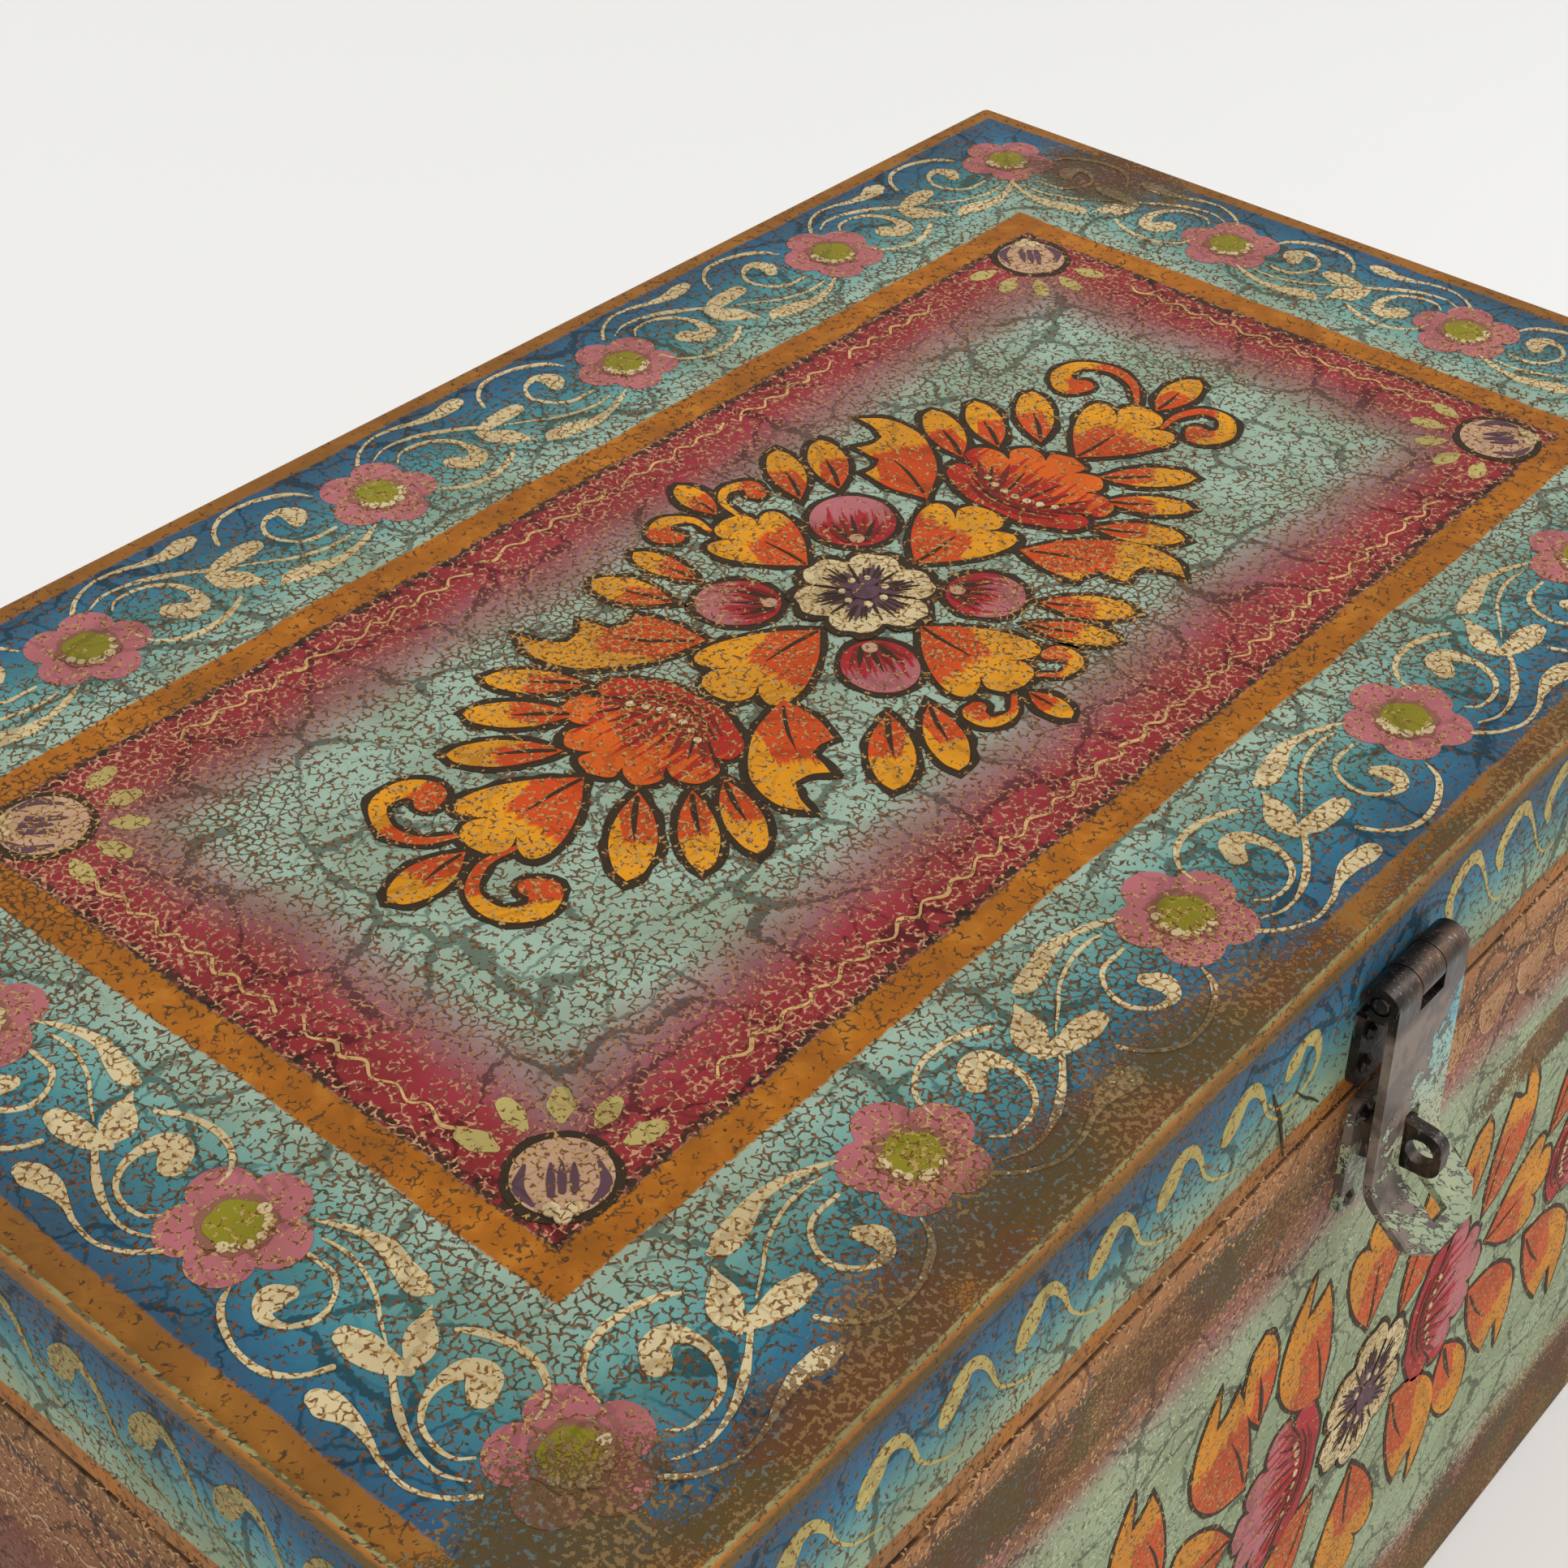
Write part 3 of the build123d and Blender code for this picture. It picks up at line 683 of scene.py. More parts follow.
def smooth(points, steps=5):
    """A smooth line through a few chosen points, which may hold a width beside their place."""
    points = [Vector(point) for point in points]
    ends = [2 * points[0] - points[1], *points, 2 * points[-1] - points[-2]]
    line = []
    for a, b, c, d in zip(ends, ends[1:], ends[2:], ends[3:]):
        bend, twist = 2 * a - 5 * b + 4 * c - d, 3 * b - a - 3 * c + d
        for step in range(steps):
            s = step / steps
            line.append(0.5 * (2 * b + (c - a) * s + bend * s**2 + twist * s**3))
    line.append(points[-1])
    return line


def runs(*lines, steps=5):
    """A closed outline of smooth runs that meet in corners."""
    outline = []
    for line in lines:
        outline += smooth(line, steps)[:-1]
    return outline


def mirrored(half):
    """A closed outline from the right-hand runs of a shape that is the same on both sides."""
    other = [[(-x, y) for x, y in reversed(line)] for line in reversed(half)]
    return runs(*half, *other)


def grow(outline, by, seed=0.0):
    """The outline moved outwards by about this much, unevenly, as a brush does it."""
    area = sum(a.x * b.y - b.x * a.y for a, b in zip(outline, outline[1:] + outline[:1]))
    turn = 1.0 if area > 0 else -1.0
    grown = []
    for before, here, after in zip(outline[-1:] + outline[:-1], outline, outline[1:] + outline[:1]):
        first = (here - before).normalized()
        second = (after - here).normalized()
        way = first + second
        way = way.normalized() if way.length > 1e-6 else first
        normal = Vector((way.y, -way.x)) * turn
        hollow = (first.x * second.y - first.y * second.x) * turn < -0.2
        sharp = 0.7 if hollow else 1.0 / max(0.62, abs(way.dot(first)))
        press = 1.0 + 0.55 * noise.noise(Vector((here.x * 0.35, here.y * 0.35, seed)))
        grown.append(here + normal * by * sharp * press)
    return unlooped([spot for spot in grown if min((spot - point).length for point in outline) > by * 0.5])


def unlooped(outline, reach=26):
    """The outline without the small loops that a tight bend or a notch leaves."""
    kept = list(outline)
    for _ in outline:
        for step in range(min(reach, len(kept) - 3), 1, -1):
            meet = intersect_line_line_2d(kept[0], kept[1], kept[step], kept[step + 1])
            if meet:
                kept = [kept[0], meet, *kept[step + 1:]]
                break
        kept = kept[1:] + kept[:1]
    return kept


def heading(angle, tall=1.0):
    """The way at an angle from across, stretched upwards where the shape is tall."""
    return Vector((math.cos(angle), math.sin(angle) * tall))


def ribbon(points, steps=5):
    """The outline of a brush stroke: points are (across, up, width)."""
    line = smooth(points, steps)
    left, right = [], []
    for number, here in enumerate(line):
        way = (line[min(number + 1, len(line) - 1)] - line[max(number - 1, 0)]).xy.normalized()
        normal = Vector((-way.y, way.x)) * half_width(here)
        left.append(here.xy + normal)
        right.append(here.xy - normal)
    return unlooped(left + round_end(line, -1) + right[::-1] + round_end(line, 0), 20)


def half_width(point):
    """Half the width of a stroke at a point, which is never quite nothing."""
    return max(point.z, 0.12) / 2


def round_end(line, end):
    """The round tip of a stroke at its last point, or its first."""
    tip, inner = (line[-1], line[-2]) if end else (line[0], line[1])
    way = (tip - inner).xy.normalized()
    normal = Vector((-way.y, way.x))
    turns = (math.radians(turn) for turn in (36, 72, 108, 144))
    return [tip.xy + (normal * math.cos(turn) + way * math.sin(turn)) * half_width(tip) for turn in turns]


def brushed(spots, widths, steps=3):
    """The outline of a brush stroke through a few places, with its width at each."""
    return ribbon([(*spot, width) for spot, width in zip(spots, widths)], steps)


def between(foot, head):
    """The two ends of a straight stroke with its middle."""
    return foot, (foot + head) / 2, head


def placed(points, base, tip, long, wide=1.0):
    """Points drawn upwards from 0, with their widths if any, turned and sized to run from base to tip."""
    base = Vector(base)
    way = Vector(tip) - base
    scale = way.length / long
    along = way.normalized()
    across = Vector((along.y, -along.x))
    moved = []
    for x, y, *width in points:
        spot = base + across * x * scale * wide + along * y * scale
        moved.append(Vector((*spot, *width)))
    return moved


FILM_SUNK = 0.05
FILM_LEAST = 0.02
FILM_STEP = 0.005
BRUSH_APART = 1.7


class Paint:
    """One colour of paint on one body, gathered film by film into one piece of closed shells."""

    def __init__(self, name, body, slot, material):
        self.name = name
        self.body = body
        self.slot = slot
        self.material = material
        self.mesh = bmesh.new()
        self.brush = self.mesh.verts.layers.float_vector.new("brush")
        self.spot = self.mesh.verts.layers.float_vector.new("spot")
        self.count = 0

    def film(self, side, outline, layer, base=(0, 0), tip=(0, 1), wide=1.0):
        """Adds a film inside an outline, its face one paint layer above the last."""
        self.count += 1
        lift = layer * sizes().film + FILM_LEAST + self.count % 9 * FILM_STEP
        foot = Vector(base)
        way = Vector(tip) - foot
        along = way.normalized()
        across = Vector((along.y, -along.x))
        turned = 1 if self.count % 2 else -1
        rim = []
        for point in outline:
            corner = self.mesh.verts.new(side.at(point.x, point.y, -FILM_SUNK))
            offset = point.xy - foot
            seed = self.count * BRUSH_APART
            corner[self.brush] = (offset.dot(along) / way.length, turned * offset.dot(across) / wide, seed)
            corner[self.spot] = (point.x * side.handed + side.shift, point.y, 0.0)
            rim.append(corner)
        skin = self.mesh.faces.new(rim)
        raised = bmesh.ops.extrude_face_region(self.mesh, geom=[skin])["geom"]
        corners = [part for part in raised if isinstance(part, bmesh.types.BMVert)]
        bmesh.ops.translate(self.mesh, verts=corners, vec=side.out * (lift + FILM_SUNK) * MM)

    def finish(self):
        """Makes the piece and lets it ride on its body."""
        bmesh.ops.recalc_face_normals(self.mesh, faces=self.mesh.faces)
        data = bpy.data.meshes.new(self.name)
        self.mesh.to_mesh(data)
        self.mesh.free()
        piece = bpy.data.objects.new(self.name, data)
        piece.data.materials.append(self.material)
        bpy.context.scene.collection.objects.link(piece)
        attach(piece, self.body)


def outlined(paints, name, side, outline, seed, brush=(), layer=1, bold=1.0):
    """A film with a dark outline under it. Brush holds where its colours run: base, tip and half width."""
    paints["dark"].film(side, grow(outline, outline_width(side) * bold, seed), layer)
    paints[name].film(side, outline, layer + 1, *brush)


LEAF_LONG = 13.0
SMALL_LEAF = [
    [(0.0, 0.0), (2.3, 3.4), (3.2, 7.4), (2.2, 11.2), (0.4, 13.0)],
    [(0.4, 13.0), (-1.8, 11.6), (-3.1, 7.6), (-2.2, 3.4), (0.0, 0.0)],
]
HEART_LONG = 20.0
HEART_HALF = [
    [(0.0, 0.0), (4.8, 5.0), (8.0, 10.4), (8.8, 14.6), (7.4, 16.4), (4.8, 15.8), (2.9, 14.3)],
    [(2.9, 14.3), (4.2, 16.8), (3.0, 19.2), (0.0, 20.0)],
]
HEART_VEIN = [(0.0, 0.6, 0.5), (0.3, 4.5, 0.6), (0.2, 10.0, 0.14)]
TOOTHED_LONG = 26.8
TOOTHED_LEAF = [
    [(0.0, 0.0), (-4.2, 5.0), (-6.2, 10.5)],
    [(-6.2, 10.5), (-4.0, 11.6), (-2.4, 13.6)],
    [(-2.4, 13.6), (-3.6, 16.0), (-4.4, 18.3)],
    [(-4.4, 18.3), (-1.6, 18.4), (0.9, 19.9)],
    [(0.9, 19.9), (0.8, 23.6), (-0.4, 26.8)],
    [(-0.4, 26.8), (3.8, 25.0), (6.4, 21.0), (7.2, 16.0), (5.2, 7.6), (0.0, 0.0)],
]
FLAME_LONG = 35.3
FLAME_LEAF = [
    [(0.0, 0.0), (-6.0, 4.6), (-9.6, 12.0), (-10.2, 20.0), (-7.0, 28.0), (-3.0, 32.6), (0.0, 35.3)],
    [(0.0, 35.3), (-1.2, 31.4), (-2.8, 26.6)],
    [(-2.8, 26.6), (0.2, 26.8), (3.4, 28.4)],
    [(3.4, 28.4), (4.0, 20.0), (2.8, 9.0), (0.0, 0.0)],
]


def leaf(paints, side, lines, long, base, tip, wide=1.0, vein=0.5, flip=False, seed=0.0):
    """A leaf with a dark outline, two colours and a vein up from its base."""
    if flip:
        lines = [[(-x, y) for x, y in line] for line in lines]
    outline = placed(runs(*lines), base, tip, long, wide)
    outlined(paints, "leaf", side, outline, seed, (base, tip, long * 0.3))
    lean = 0.03 * long * (-1 if flip else 1)
    line = [(lean * 0.2, long * 0.07), (lean * 0.4, long * 0.3), (-lean * 0.3, long * vein)]
    paints["dark"].film(side, placed(brushed(line, (0.5, 0.62, 0.12), 4), base, tip, long), 3)


def small_leaf(paints, side, base, tip, wide=1.0, seed=0.0):
    leaf(paints, side, SMALL_LEAF, LEAF_LONG, base, tip, wide, 0.56, seed=seed)


def heart_leaf(paints, side, base, tip, wide=1.0, seed=0.0):
    """A leaf with three lobes at its outer end."""
    outline = placed(mirrored(HEART_HALF), base, tip, HEART_LONG, wide)
    outlined(paints, "leaf", side, outline, seed, (base, tip, 8.0))
    paints["dark"].film(side, placed(ribbon(HEART_VEIN, 4), base, tip, HEART_LONG), 3)


def disc(centre, radius, tall=1.0, lobes=0, depth=0.0, turn=0.0, count=20):
    """A round or lobed outline."""
    outline = []
    for step in range(count):
        angle = 2 * math.pi * step / count
        reach = radius * (1.0 + depth * (abs(math.cos(lobes * (angle - turn) / 2)) - 1.0))
        outline.append(Vector(centre) + heading(angle, tall) * reach)
    return outline


PETAL_STEPS = 70


def petal_ring(centre, radius, petals, turn, tall=1.0, notch=0.0):
    """The outline of an open flower with round petals, which may each have a notch at the tip."""
    outline = []
    for step in range(PETAL_STEPS):
        angle = 2 * math.pi * step / PETAL_STEPS
        phase = abs(math.cos(petals * (angle - turn) / 2))
        swell = 1.0 - 0.3 * (1.0 - phase**0.62) - notch * max(0.0, phase - 0.9) * 10
        wobble = 1.0 + 0.03 * noise.noise(Vector((math.cos(angle), math.sin(angle), centre[0])))
        outline.append(Vector(centre) + heading(angle, tall) * radius * swell * wobble)
    return outline


PINK_PETALS = 5


def border_flower(paints, centre, radius, turn, rng):
    """A pink flower with five petals, a green centre and a few cream dots."""
    paints["pink"].film(LID_TOP, petal_ring(centre, radius, PINK_PETALS, turn), 1)
    for k in range(PINK_PETALS):
        angle = turn + 2 * math.pi * (k + 0.5) / PINK_PETALS + rng.uniform(-0.12, 0.12)
        spots = [centre + heading(angle) * radius * reach for reach in (0.3, 0.46, rng.uniform(0.52, 0.6))]
        paints["dusk"].film(LID_TOP, brushed(spots, (0.5, 0.8, 0.3)), 2)
    core = sizes().flower_centre * radius / sizes().flower
    paints["dusk"].film(LID_TOP, disc(centre, core * 1.3, 1.0, 7, 0.16, turn, 24), 3)
    paints["moss"].film(LID_TOP, disc(centre, core, 1.0, 5, 0.12, turn, 24), 4)
    for k in range(7):
        spot = centre + heading(turn + 2.4 + k * 0.42 + rng.uniform(-0.1, 0.1)) * core * 0.95
        paints["cream"].film(LID_TOP, disc(spot, core * rng.uniform(0.14, 0.24), count=8), 5)


GAP_LONG = 56.8
SCROLL = [
    [(3.9, 8.8, 1.1), (6.6, 11.4, 0.9), (11.0, 13.3, 0.8), (15.9, 12.9, 1.1), (19.1, 11.8, 1.5),
     (23.1, 11.0, 2.6), (26.7, 11.4, 3.5), (28.4, 11.6, 2.6)],
    [(6.2, 8.0, 0.4), (9.4, 9.4, 0.7), (12.7, 9.4, 0.9), (16.3, 8.4, 1.4), (19.5, 6.8, 1.6),
     (22.3, 5.0, 1.2), (24.9, 3.0, 1.2)],
    [(8.4, 5.2, 0.5), (10.2, 6.8, 0.8), (13.5, 7.0, 1.0), (16.7, 5.8, 1.2), (18.9, 3.0, 1.5),
     (19.4, -0.2, 1.9), (18.4, -3.0, 3.0), (16.0, -3.4, 3.9), (14.2, -1.4, 3.4)],
    [(23.6, 1.8, 1.6), (27.0, 2.7, 3.0), (31.0, 3.0, 3.8), (33.4, 3.1, 3.0)],
    [(23.8, 1.8, 1.6), (24.8, -0.8, 4.0), (26.6, -3.0, 4.0), (28.0, -5.2, 1.8), (28.7, -6.6, 0.4)],
    [(30.5, 7.4, 1.0), (32.3, 10.6, 1.0), (35.9, 13.1, 1.2), (40.8, 13.3, 1.2), (45.2, 11.8, 1.4),
     (48.0, 9.8, 1.2), (49.4, 7.2, 0.4)],
    [(43.0, 3.2, 2.6), (44.0, 5.2, 3.6), (42.6, 7.6, 2.2), (39.4, 6.9, 1.1), (37.4, 3.8, 1.1),
     (38.4, 0.2, 1.0), (41.2, -2.2, 1.1), (46.0, -2.4, 0.8)],
    [(28.3, 0.4, 0.4), (31.9, -1.8, 0.7), (35.5, -4.2, 0.8), (40.0, -5.8, 0.9), (43.6, -6.2, 0.9),
     (46.8, -5.8, 0.5)],
    [(30.1, -8.0, 1.4), (31.9, -7.7, 3.0), (35.5, -8.4, 3.1), (39.5, -9.4, 2.4), (43.5, -9.0, 1.6),
     (47.1, -7.8, 1.4), (50.4, -6.2, 0.5)],
    [(6.8, -2.6, 0.5), (7.8, -5.8, 0.9), (10.6, -8.2, 1.2), (14.3, -9.2, 1.4), (18.3, -8.8, 1.4),
     (21.5, -7.6, 1.4), (23.7, -6.2, 0.8)],
]


def scrolls(paints, start, end, outward, rng):
    """The cream scrolls between two border flowers. Outward is 1 or -1 across the way from start to end."""
    way = end - start
    scale = way.length / GAP_LONG
    along = way.normalized()
    across = Vector((-along.y, along.x)) * outward
    for stroke in SCROLL:
        shift = Vector((rng.uniform(-0.35, 0.35), rng.uniform(-0.35, 0.35)))
        moved = []
        for x, y, width in stroke:
            spot = start + along * (x * scale + shift.x) + across * (y * min(1.0, scale * 1.02) + shift.y)
            thin = 0.5 + 0.5 * min(1.0, width / 3)
            moved.append((spot.x, spot.y, width * thin * rng.uniform(0.85, 1.15)))
        paints["cream"].film(LID_TOP, ribbon(moved), 2)


FLOWER_ROW = (-139.0, -82.0, -25.0, 32.0, 88.0, 142.0)
FLOWER_ENDS = (-26.0, 24.0)
ROW_INSET = 19.0


def top_border(paints, rng):
    """Flowers and scrolls round the lid's border."""
    high, far = HALF_DEEP - ROW_INSET, HALF_LONG - ROW_INSET
    for edge in (1, -1):
        row = [Vector((x, edge * high)) for x in FLOWER_ROW]
        border_run(paints, row, row, edge, rng)
        column = [Vector((edge * far, y)) for y in (-high, *FLOWER_ENDS, high)]
        border_run(paints, column, column[1:-1], -edge, rng)


def border_run(paints, places, flowers, outward, rng):
    """One side of the border: its flowers, and the scrolls from each place to the next."""
    for spot in flowers:
        radius = sizes().flower * rng.uniform(0.97, 1.04)
        border_flower(paints, spot, radius, rng.uniform(0, 1.2), rng)
    for first, second in zip(places, places[1:]):
        scrolls(paints, first, second, outward, rng)


WAVE_SWING = 0.8
WAVE_WIDE = 0.52


def wave_line(paint, side, start, end, rng):
    """A thin wavy line with a few breaks."""
    start, end = Vector(start), Vector(end)
    way = end - start
    along = way.normalized()
    across = Vector((-along.y, along.x))
    steps = int(way.length / sizes().panel_wave * 2)
    points = []
    for step in range(steps + 1):
        swing = WAVE_SWING * (1 if step % 2 else -1) * rng.uniform(0.6, 1.25)
        spot = start + along * (way.length * step / steps + rng.uniform(-0.5, 0.5)) + across * swing
        points.append((*spot, WAVE_WIDE * rng.uniform(0.6, 1.25)))
        full = len(points) > 9 and rng.random() < 0.22
        if full or step == steps:
            if len(points) > 2:
                paint.film(side, ribbon(points, 4), 1)
            points = points[-1:] if full and rng.random() < 0.5 else []


PANEL_WAVE_INSET = 45.6
LONG_WAVE_STOP = 27.0
END_WAVE_STOP = 16.0
BUD_PLACE = (111.5, 48.5)
BUD_RADIUS = 6.2


def panel_edge(paints, rng):
    """The wavy lines inside the panel's edge, and a bud with five dabs in each corner."""
    far, high = HALF_LONG - PANEL_WAVE_INSET, HALF_DEEP - PANEL_WAVE_INSET
    for edge in (1, -1):
        stop, end = far - LONG_WAVE_STOP, high - END_WAVE_STOP
        wave_line(paints["wave"], LID_TOP, (-stop, edge * high), (stop, edge * high), rng)
        wave_line(paints["wave"], LID_TOP, (edge * far, -end), (edge * far, end), rng)
    for edge_x in (1, -1):
        for edge_y in (1, -1):
            corner_bud(paints, edge_x, edge_y, rng)


def corner_bud(paints, edge_x, edge_y, rng):
    """A round cream bud with purple strokes, and straw dabs in an arc towards the panel's middle."""
    centre = Vector((BUD_PLACE[0] * edge_x, BUD_PLACE[1] * edge_y))
    outlined(paints, "blush", LID_TOP, disc(centre, BUD_RADIUS, count=28), edge_x + 2 * edge_y)
    outwards = math.atan2(edge_y, edge_x)
    way = heading(outwards)
    aside = Vector((-way.y, way.x))
    for edge in (-1, 1):
        rim = [centre + way * a + aside * edge * b for a, b in ((-1.9, 4.4), (1.6, 5.1), (4.4, 3.4))]
        paints["purple"].film(LID_TOP, brushed(rim, (0.5, 1.5, 0.5), 4), 3)
    for k in (-1.2, 0.0, 1.3):
        foot = centre + aside * k * 1.1 + way * (2.6 + rng.uniform(-0.4, 0.4))
        head = foot - way * rng.uniform(4.2, 5.4)
        paints["purple"].film(LID_TOP, brushed(between(foot, head), (0.9, 1.1, 0.3)), 4)
    for reach, aslant in ((6.4, 0.0), (5.2, 1.3), (5.2, -1.3)):
        paints["cream"].film(LID_TOP, disc(centre + way * reach + aside * aslant, 1.1, count=10), 5)
    for k in (-2, -1, 0, 1, 2):
        inwards = heading(outwards + math.pi + k * 0.5)
        head = centre + inwards * (13.4 + rng.uniform(-0.6, 0.6))
        widths = (1.2, 3.2 + rng.uniform(-0.4, 0.4), 2.4)
        paints["straw"].film(LID_TOP, brushed(between(centre + inwards * 9.2, head), widths, 4), 1)


CREAM_PETALS = 6


def cream_flower(paints, side, centre, radius, turn, tall, rng):
    """The flower in the middle: cream petals with purple and dark strokes, and dots round its heart."""
    shape = petal_ring(centre, radius, CREAM_PETALS, turn, tall, 0.06)
    outlined(paints, "cream", side, shape, centre[0], layer=3, bold=1.15)

    def ray(angle, start, end, width, name, layer):
        way = heading(angle, tall) * radius
        spots = between(centre + way * start, centre + way * end)
        paints[name].film(side, brushed(spots, (width * 0.7, width, 0.15)), layer)

    for petal in range(CREAM_PETALS):
        middle = turn + 2 * math.pi * petal / CREAM_PETALS
        ray(middle + math.pi / CREAM_PETALS, 0.2, 0.7, 0.5, "dark", 7)
        for k in (-2, -1, 0, 1, 2):
            angle = middle + k * 0.15 + rng.uniform(-0.03, 0.03)
            ray(angle, 0.12, rng.uniform(0.6, 0.72) - 0.07 * abs(k), 1.5, "purple", 5)
        for k in (-1.4, -0.5, 0.5, 1.4):
            angle = middle + k * 0.15 + rng.uniform(-0.04, 0.04)
            ray(angle, rng.uniform(0.3, 0.42), rng.uniform(0.66, 0.82) - 0.06 * abs(k), 0.42, "dark", 6)
    paints["purple"].film(side, disc(centre, radius * 0.2, tall, 5, 0.1, 0.4, 16), 8)
    for k in range(7):
        way = heading(turn + 2 * math.pi * k / 7 + rng.uniform(-0.12, 0.12), tall)
        spot = centre + way * radius * rng.uniform(0.28, 0.36)
        paints["cream"].film(side, disc(spot, radius * rng.uniform(0.045, 0.065), count=8), 9)


def bud(paints, side, base, tip, wide, rng):
    """A closed pink bud, wine red towards its base, with dark strokes and a cream dot."""
    base, tip = Vector(base), Vector(tip)
    long = (tip - base).length
    shape = placed(disc((0, 0.5 * long), long / 2, count=28), base, tip, long, wide)
    outlined(paints, "bud", side, shape, (base.x + tip.x) / 2, (base, tip, long * 0.45))
    way = (tip - base).normalized()
    aside = Vector((way.y, -way.x))
    for k in range(-3, 4):
        fan = (way + aside * k * 0.2).normalized()
        foot = base + way * long * 0.1 + aside * k * 0.6
        head = foot + fan * long * rng.uniform(0.44, 0.56) * (1.0 - abs(k) * 0.07)
        stroke = brushed(between(foot, head), (0.8, 0.85, 0.12))
        paints["maroon" if k % 2 else "dark"].film(side, stroke, 3)
    paints["blush"].film(side, disc(base + way * long * 0.14, 1.25, count=12), 4)


PALM_LONG = 22.0
PALM_HALF = [
    [(0.0, 0.4), (5.0, 0.5), (9.4, 2.4)],
    [(9.4, 2.4), (12.6, 4.6), (13.0, 7.8), (10.4, 9.0)],
    [(10.4, 9.0), (13.6, 10.6), (13.4, 14.4), (10.2, 15.8), (7.4, 14.8)],
    [(7.4, 14.8), (8.8, 17.6), (7.0, 20.2), (4.4, 19.8), (2.8, 18.6)],
    [(2.8, 18.6), (3.2, 21.2), (0.0, 22.6)],
]


def palmette(paints, side, base, tip, colour, wide, seed, rng):
    """A fan-shaped flower seen from its side: scallops outwards, a dark heart and an arc of cream dots."""
    outline = placed(mirrored(PALM_HALF), base, tip, PALM_LONG, wide)
    outlined(paints, colour, side, outline, seed, (base, tip, 10.0))

    def stroke(name, points):
        paints[name].film(side, ribbon(placed(points, base, tip, PALM_LONG, wide), 4), 3)

    for height, width, name in ((1.9, 0.9, "maroon"), (3.2, 0.5, "dark"), (4.2, 0.8, "maroon")):
        stroke(name, [(-8.4, height + 2.8, 0.2), (-4.4, height + 0.8, width), (0.0, height, width),
                      (4.4, height + 0.8, width), (8.4, height + 2.8, 0.2)])
    for k in range(-5, 6):
        foot = Vector((k * 1.6, 5.2 + 0.07 * k * k))
        long = rng.uniform(7.4, 10.6) * (1.0 - abs(k) * 0.06)
        head = foot + Vector((math.sin(k * 0.19), math.cos(k * 0.19))) * long
        name, width = ("dark", 0.5) if k % 2 else ("maroon", 1.2)
        widths = (width * 0.7, width, 0.12)
        stroke(name, [(*spot, across) for spot, across in zip(between(foot, head), widths)])
    for k in range(-3, 4):
        spot = placed([(k * 2.2, 5.9 + 0.2 * k * k)], base, tip, PALM_LONG, wide)[0]
        paints["cream"].film(side, disc(spot, rng.uniform(0.55, 0.75), count=8), 5)


def curl(paints, side, points):
    """A thin yellow stem that coils into a round red head."""
    head, beside = Vector(points[-1][:2]), Vector(points[-3][:2])
    way = (head - beside).normalized()
    brush = (head + way * 2.0, head - way * 7.0, 4.0)
    outlined(paints, "leaf", side, ribbon(points, 6), points[0][0], brush, bold=0.85)


TOP_HEARTS = [
    ((5.0, 12.8), (5.8, 31.0), 0.98),
    ((16.5, 0.8), (36.6, 1.2), 0.96),
    ((3.7, -10.4), (2.0, -31.0), 1.0),
    ((-7.0, 0.2), (-30.0, 1.2), 0.88),
    ((59.0, 0.6), (80.0, 0.0), 0.92),
    ((-56.0, 1.6), (-77.0, 2.6), 0.92),
]
TOP_LEAVES = [
    ((6.4, 32.8), (8.4, 43.4), 0.95),
    ((18.8, 26.0), (27.4, 38.8), 0.8),
    ((25.4, 23.4), (34.8, 35.6), 0.86),
    ((46.4, 14.6), (55.0, 28.0), 0.82),
    ((53.0, 12.0), (62.2, 24.2), 0.82),
    ((59.0, 7.8), (71.4, 19.2), 0.78),
    ((80.4, -0.6), (94.2, 0.0), 0.9),
    ((56.4, -5.8), (67.2, -17.6), 0.76),
    ((51.0, -10.6), (58.8, -22.6), 0.76),
    ((43.4, -14.0), (50.6, -26.6), 0.84),
    ((20.8, -20.0), (28.6, -32.4), 0.86),
    ((14.8, -22.0), (20.6, -34.8), 0.78),
    ((1.2, -32.4), (0.4, -40.8), 1.0),
    ((-16.4, 21.4), (-20.6, 34.6), 0.96),
    ((-9.4, 23.0), (-10.6, 35.2), 0.84),
    ((-40.0, 16.4), (-49.2, 28.6), 0.76),
    ((-46.4, 12.6), (-57.2, 24.6), 0.78),
    ((-53.6, 8.0), (-65.4, 19.4), 0.76),
    ((-78.0, 2.2), (-91.8, 2.0), 1.0),
    ((-53.4, -6.2), (-68.0, -18.2), 0.72),
    ((-48.2, -11.4), (-60.0, -24.4), 0.66),
    ((-43.4, -13.0), (-52.2, -27.4), 0.68),
    ((-16.4, -20.4), (-29.6, -32.4), 0.78),
    ((-10.8, -23.4), (-20.0, -36.4), 0.76),
]
TOP_TOOTHED = [
    ((32.6, 11.0), (45.0, 35.0), False),
    ((30.4, -9.0), (41.6, -32.6), True),
    ((-20.4, 11.0), (-38.4, 32.0), True),
    ((-24.0, -7.0), (-41.2, -26.4), False),
]
TOP_BUDS = [
    ((14.4, 10.4), (24.6, 21.0), 0.94),
    ((14.2, -7.2), (19.6, -18.2), 0.98),
    ((-5.6, 9.0), (-14.2, 19.0), 0.9),
    ((-4.8, -6.8), (-11.8, -18.0), 0.88),
]
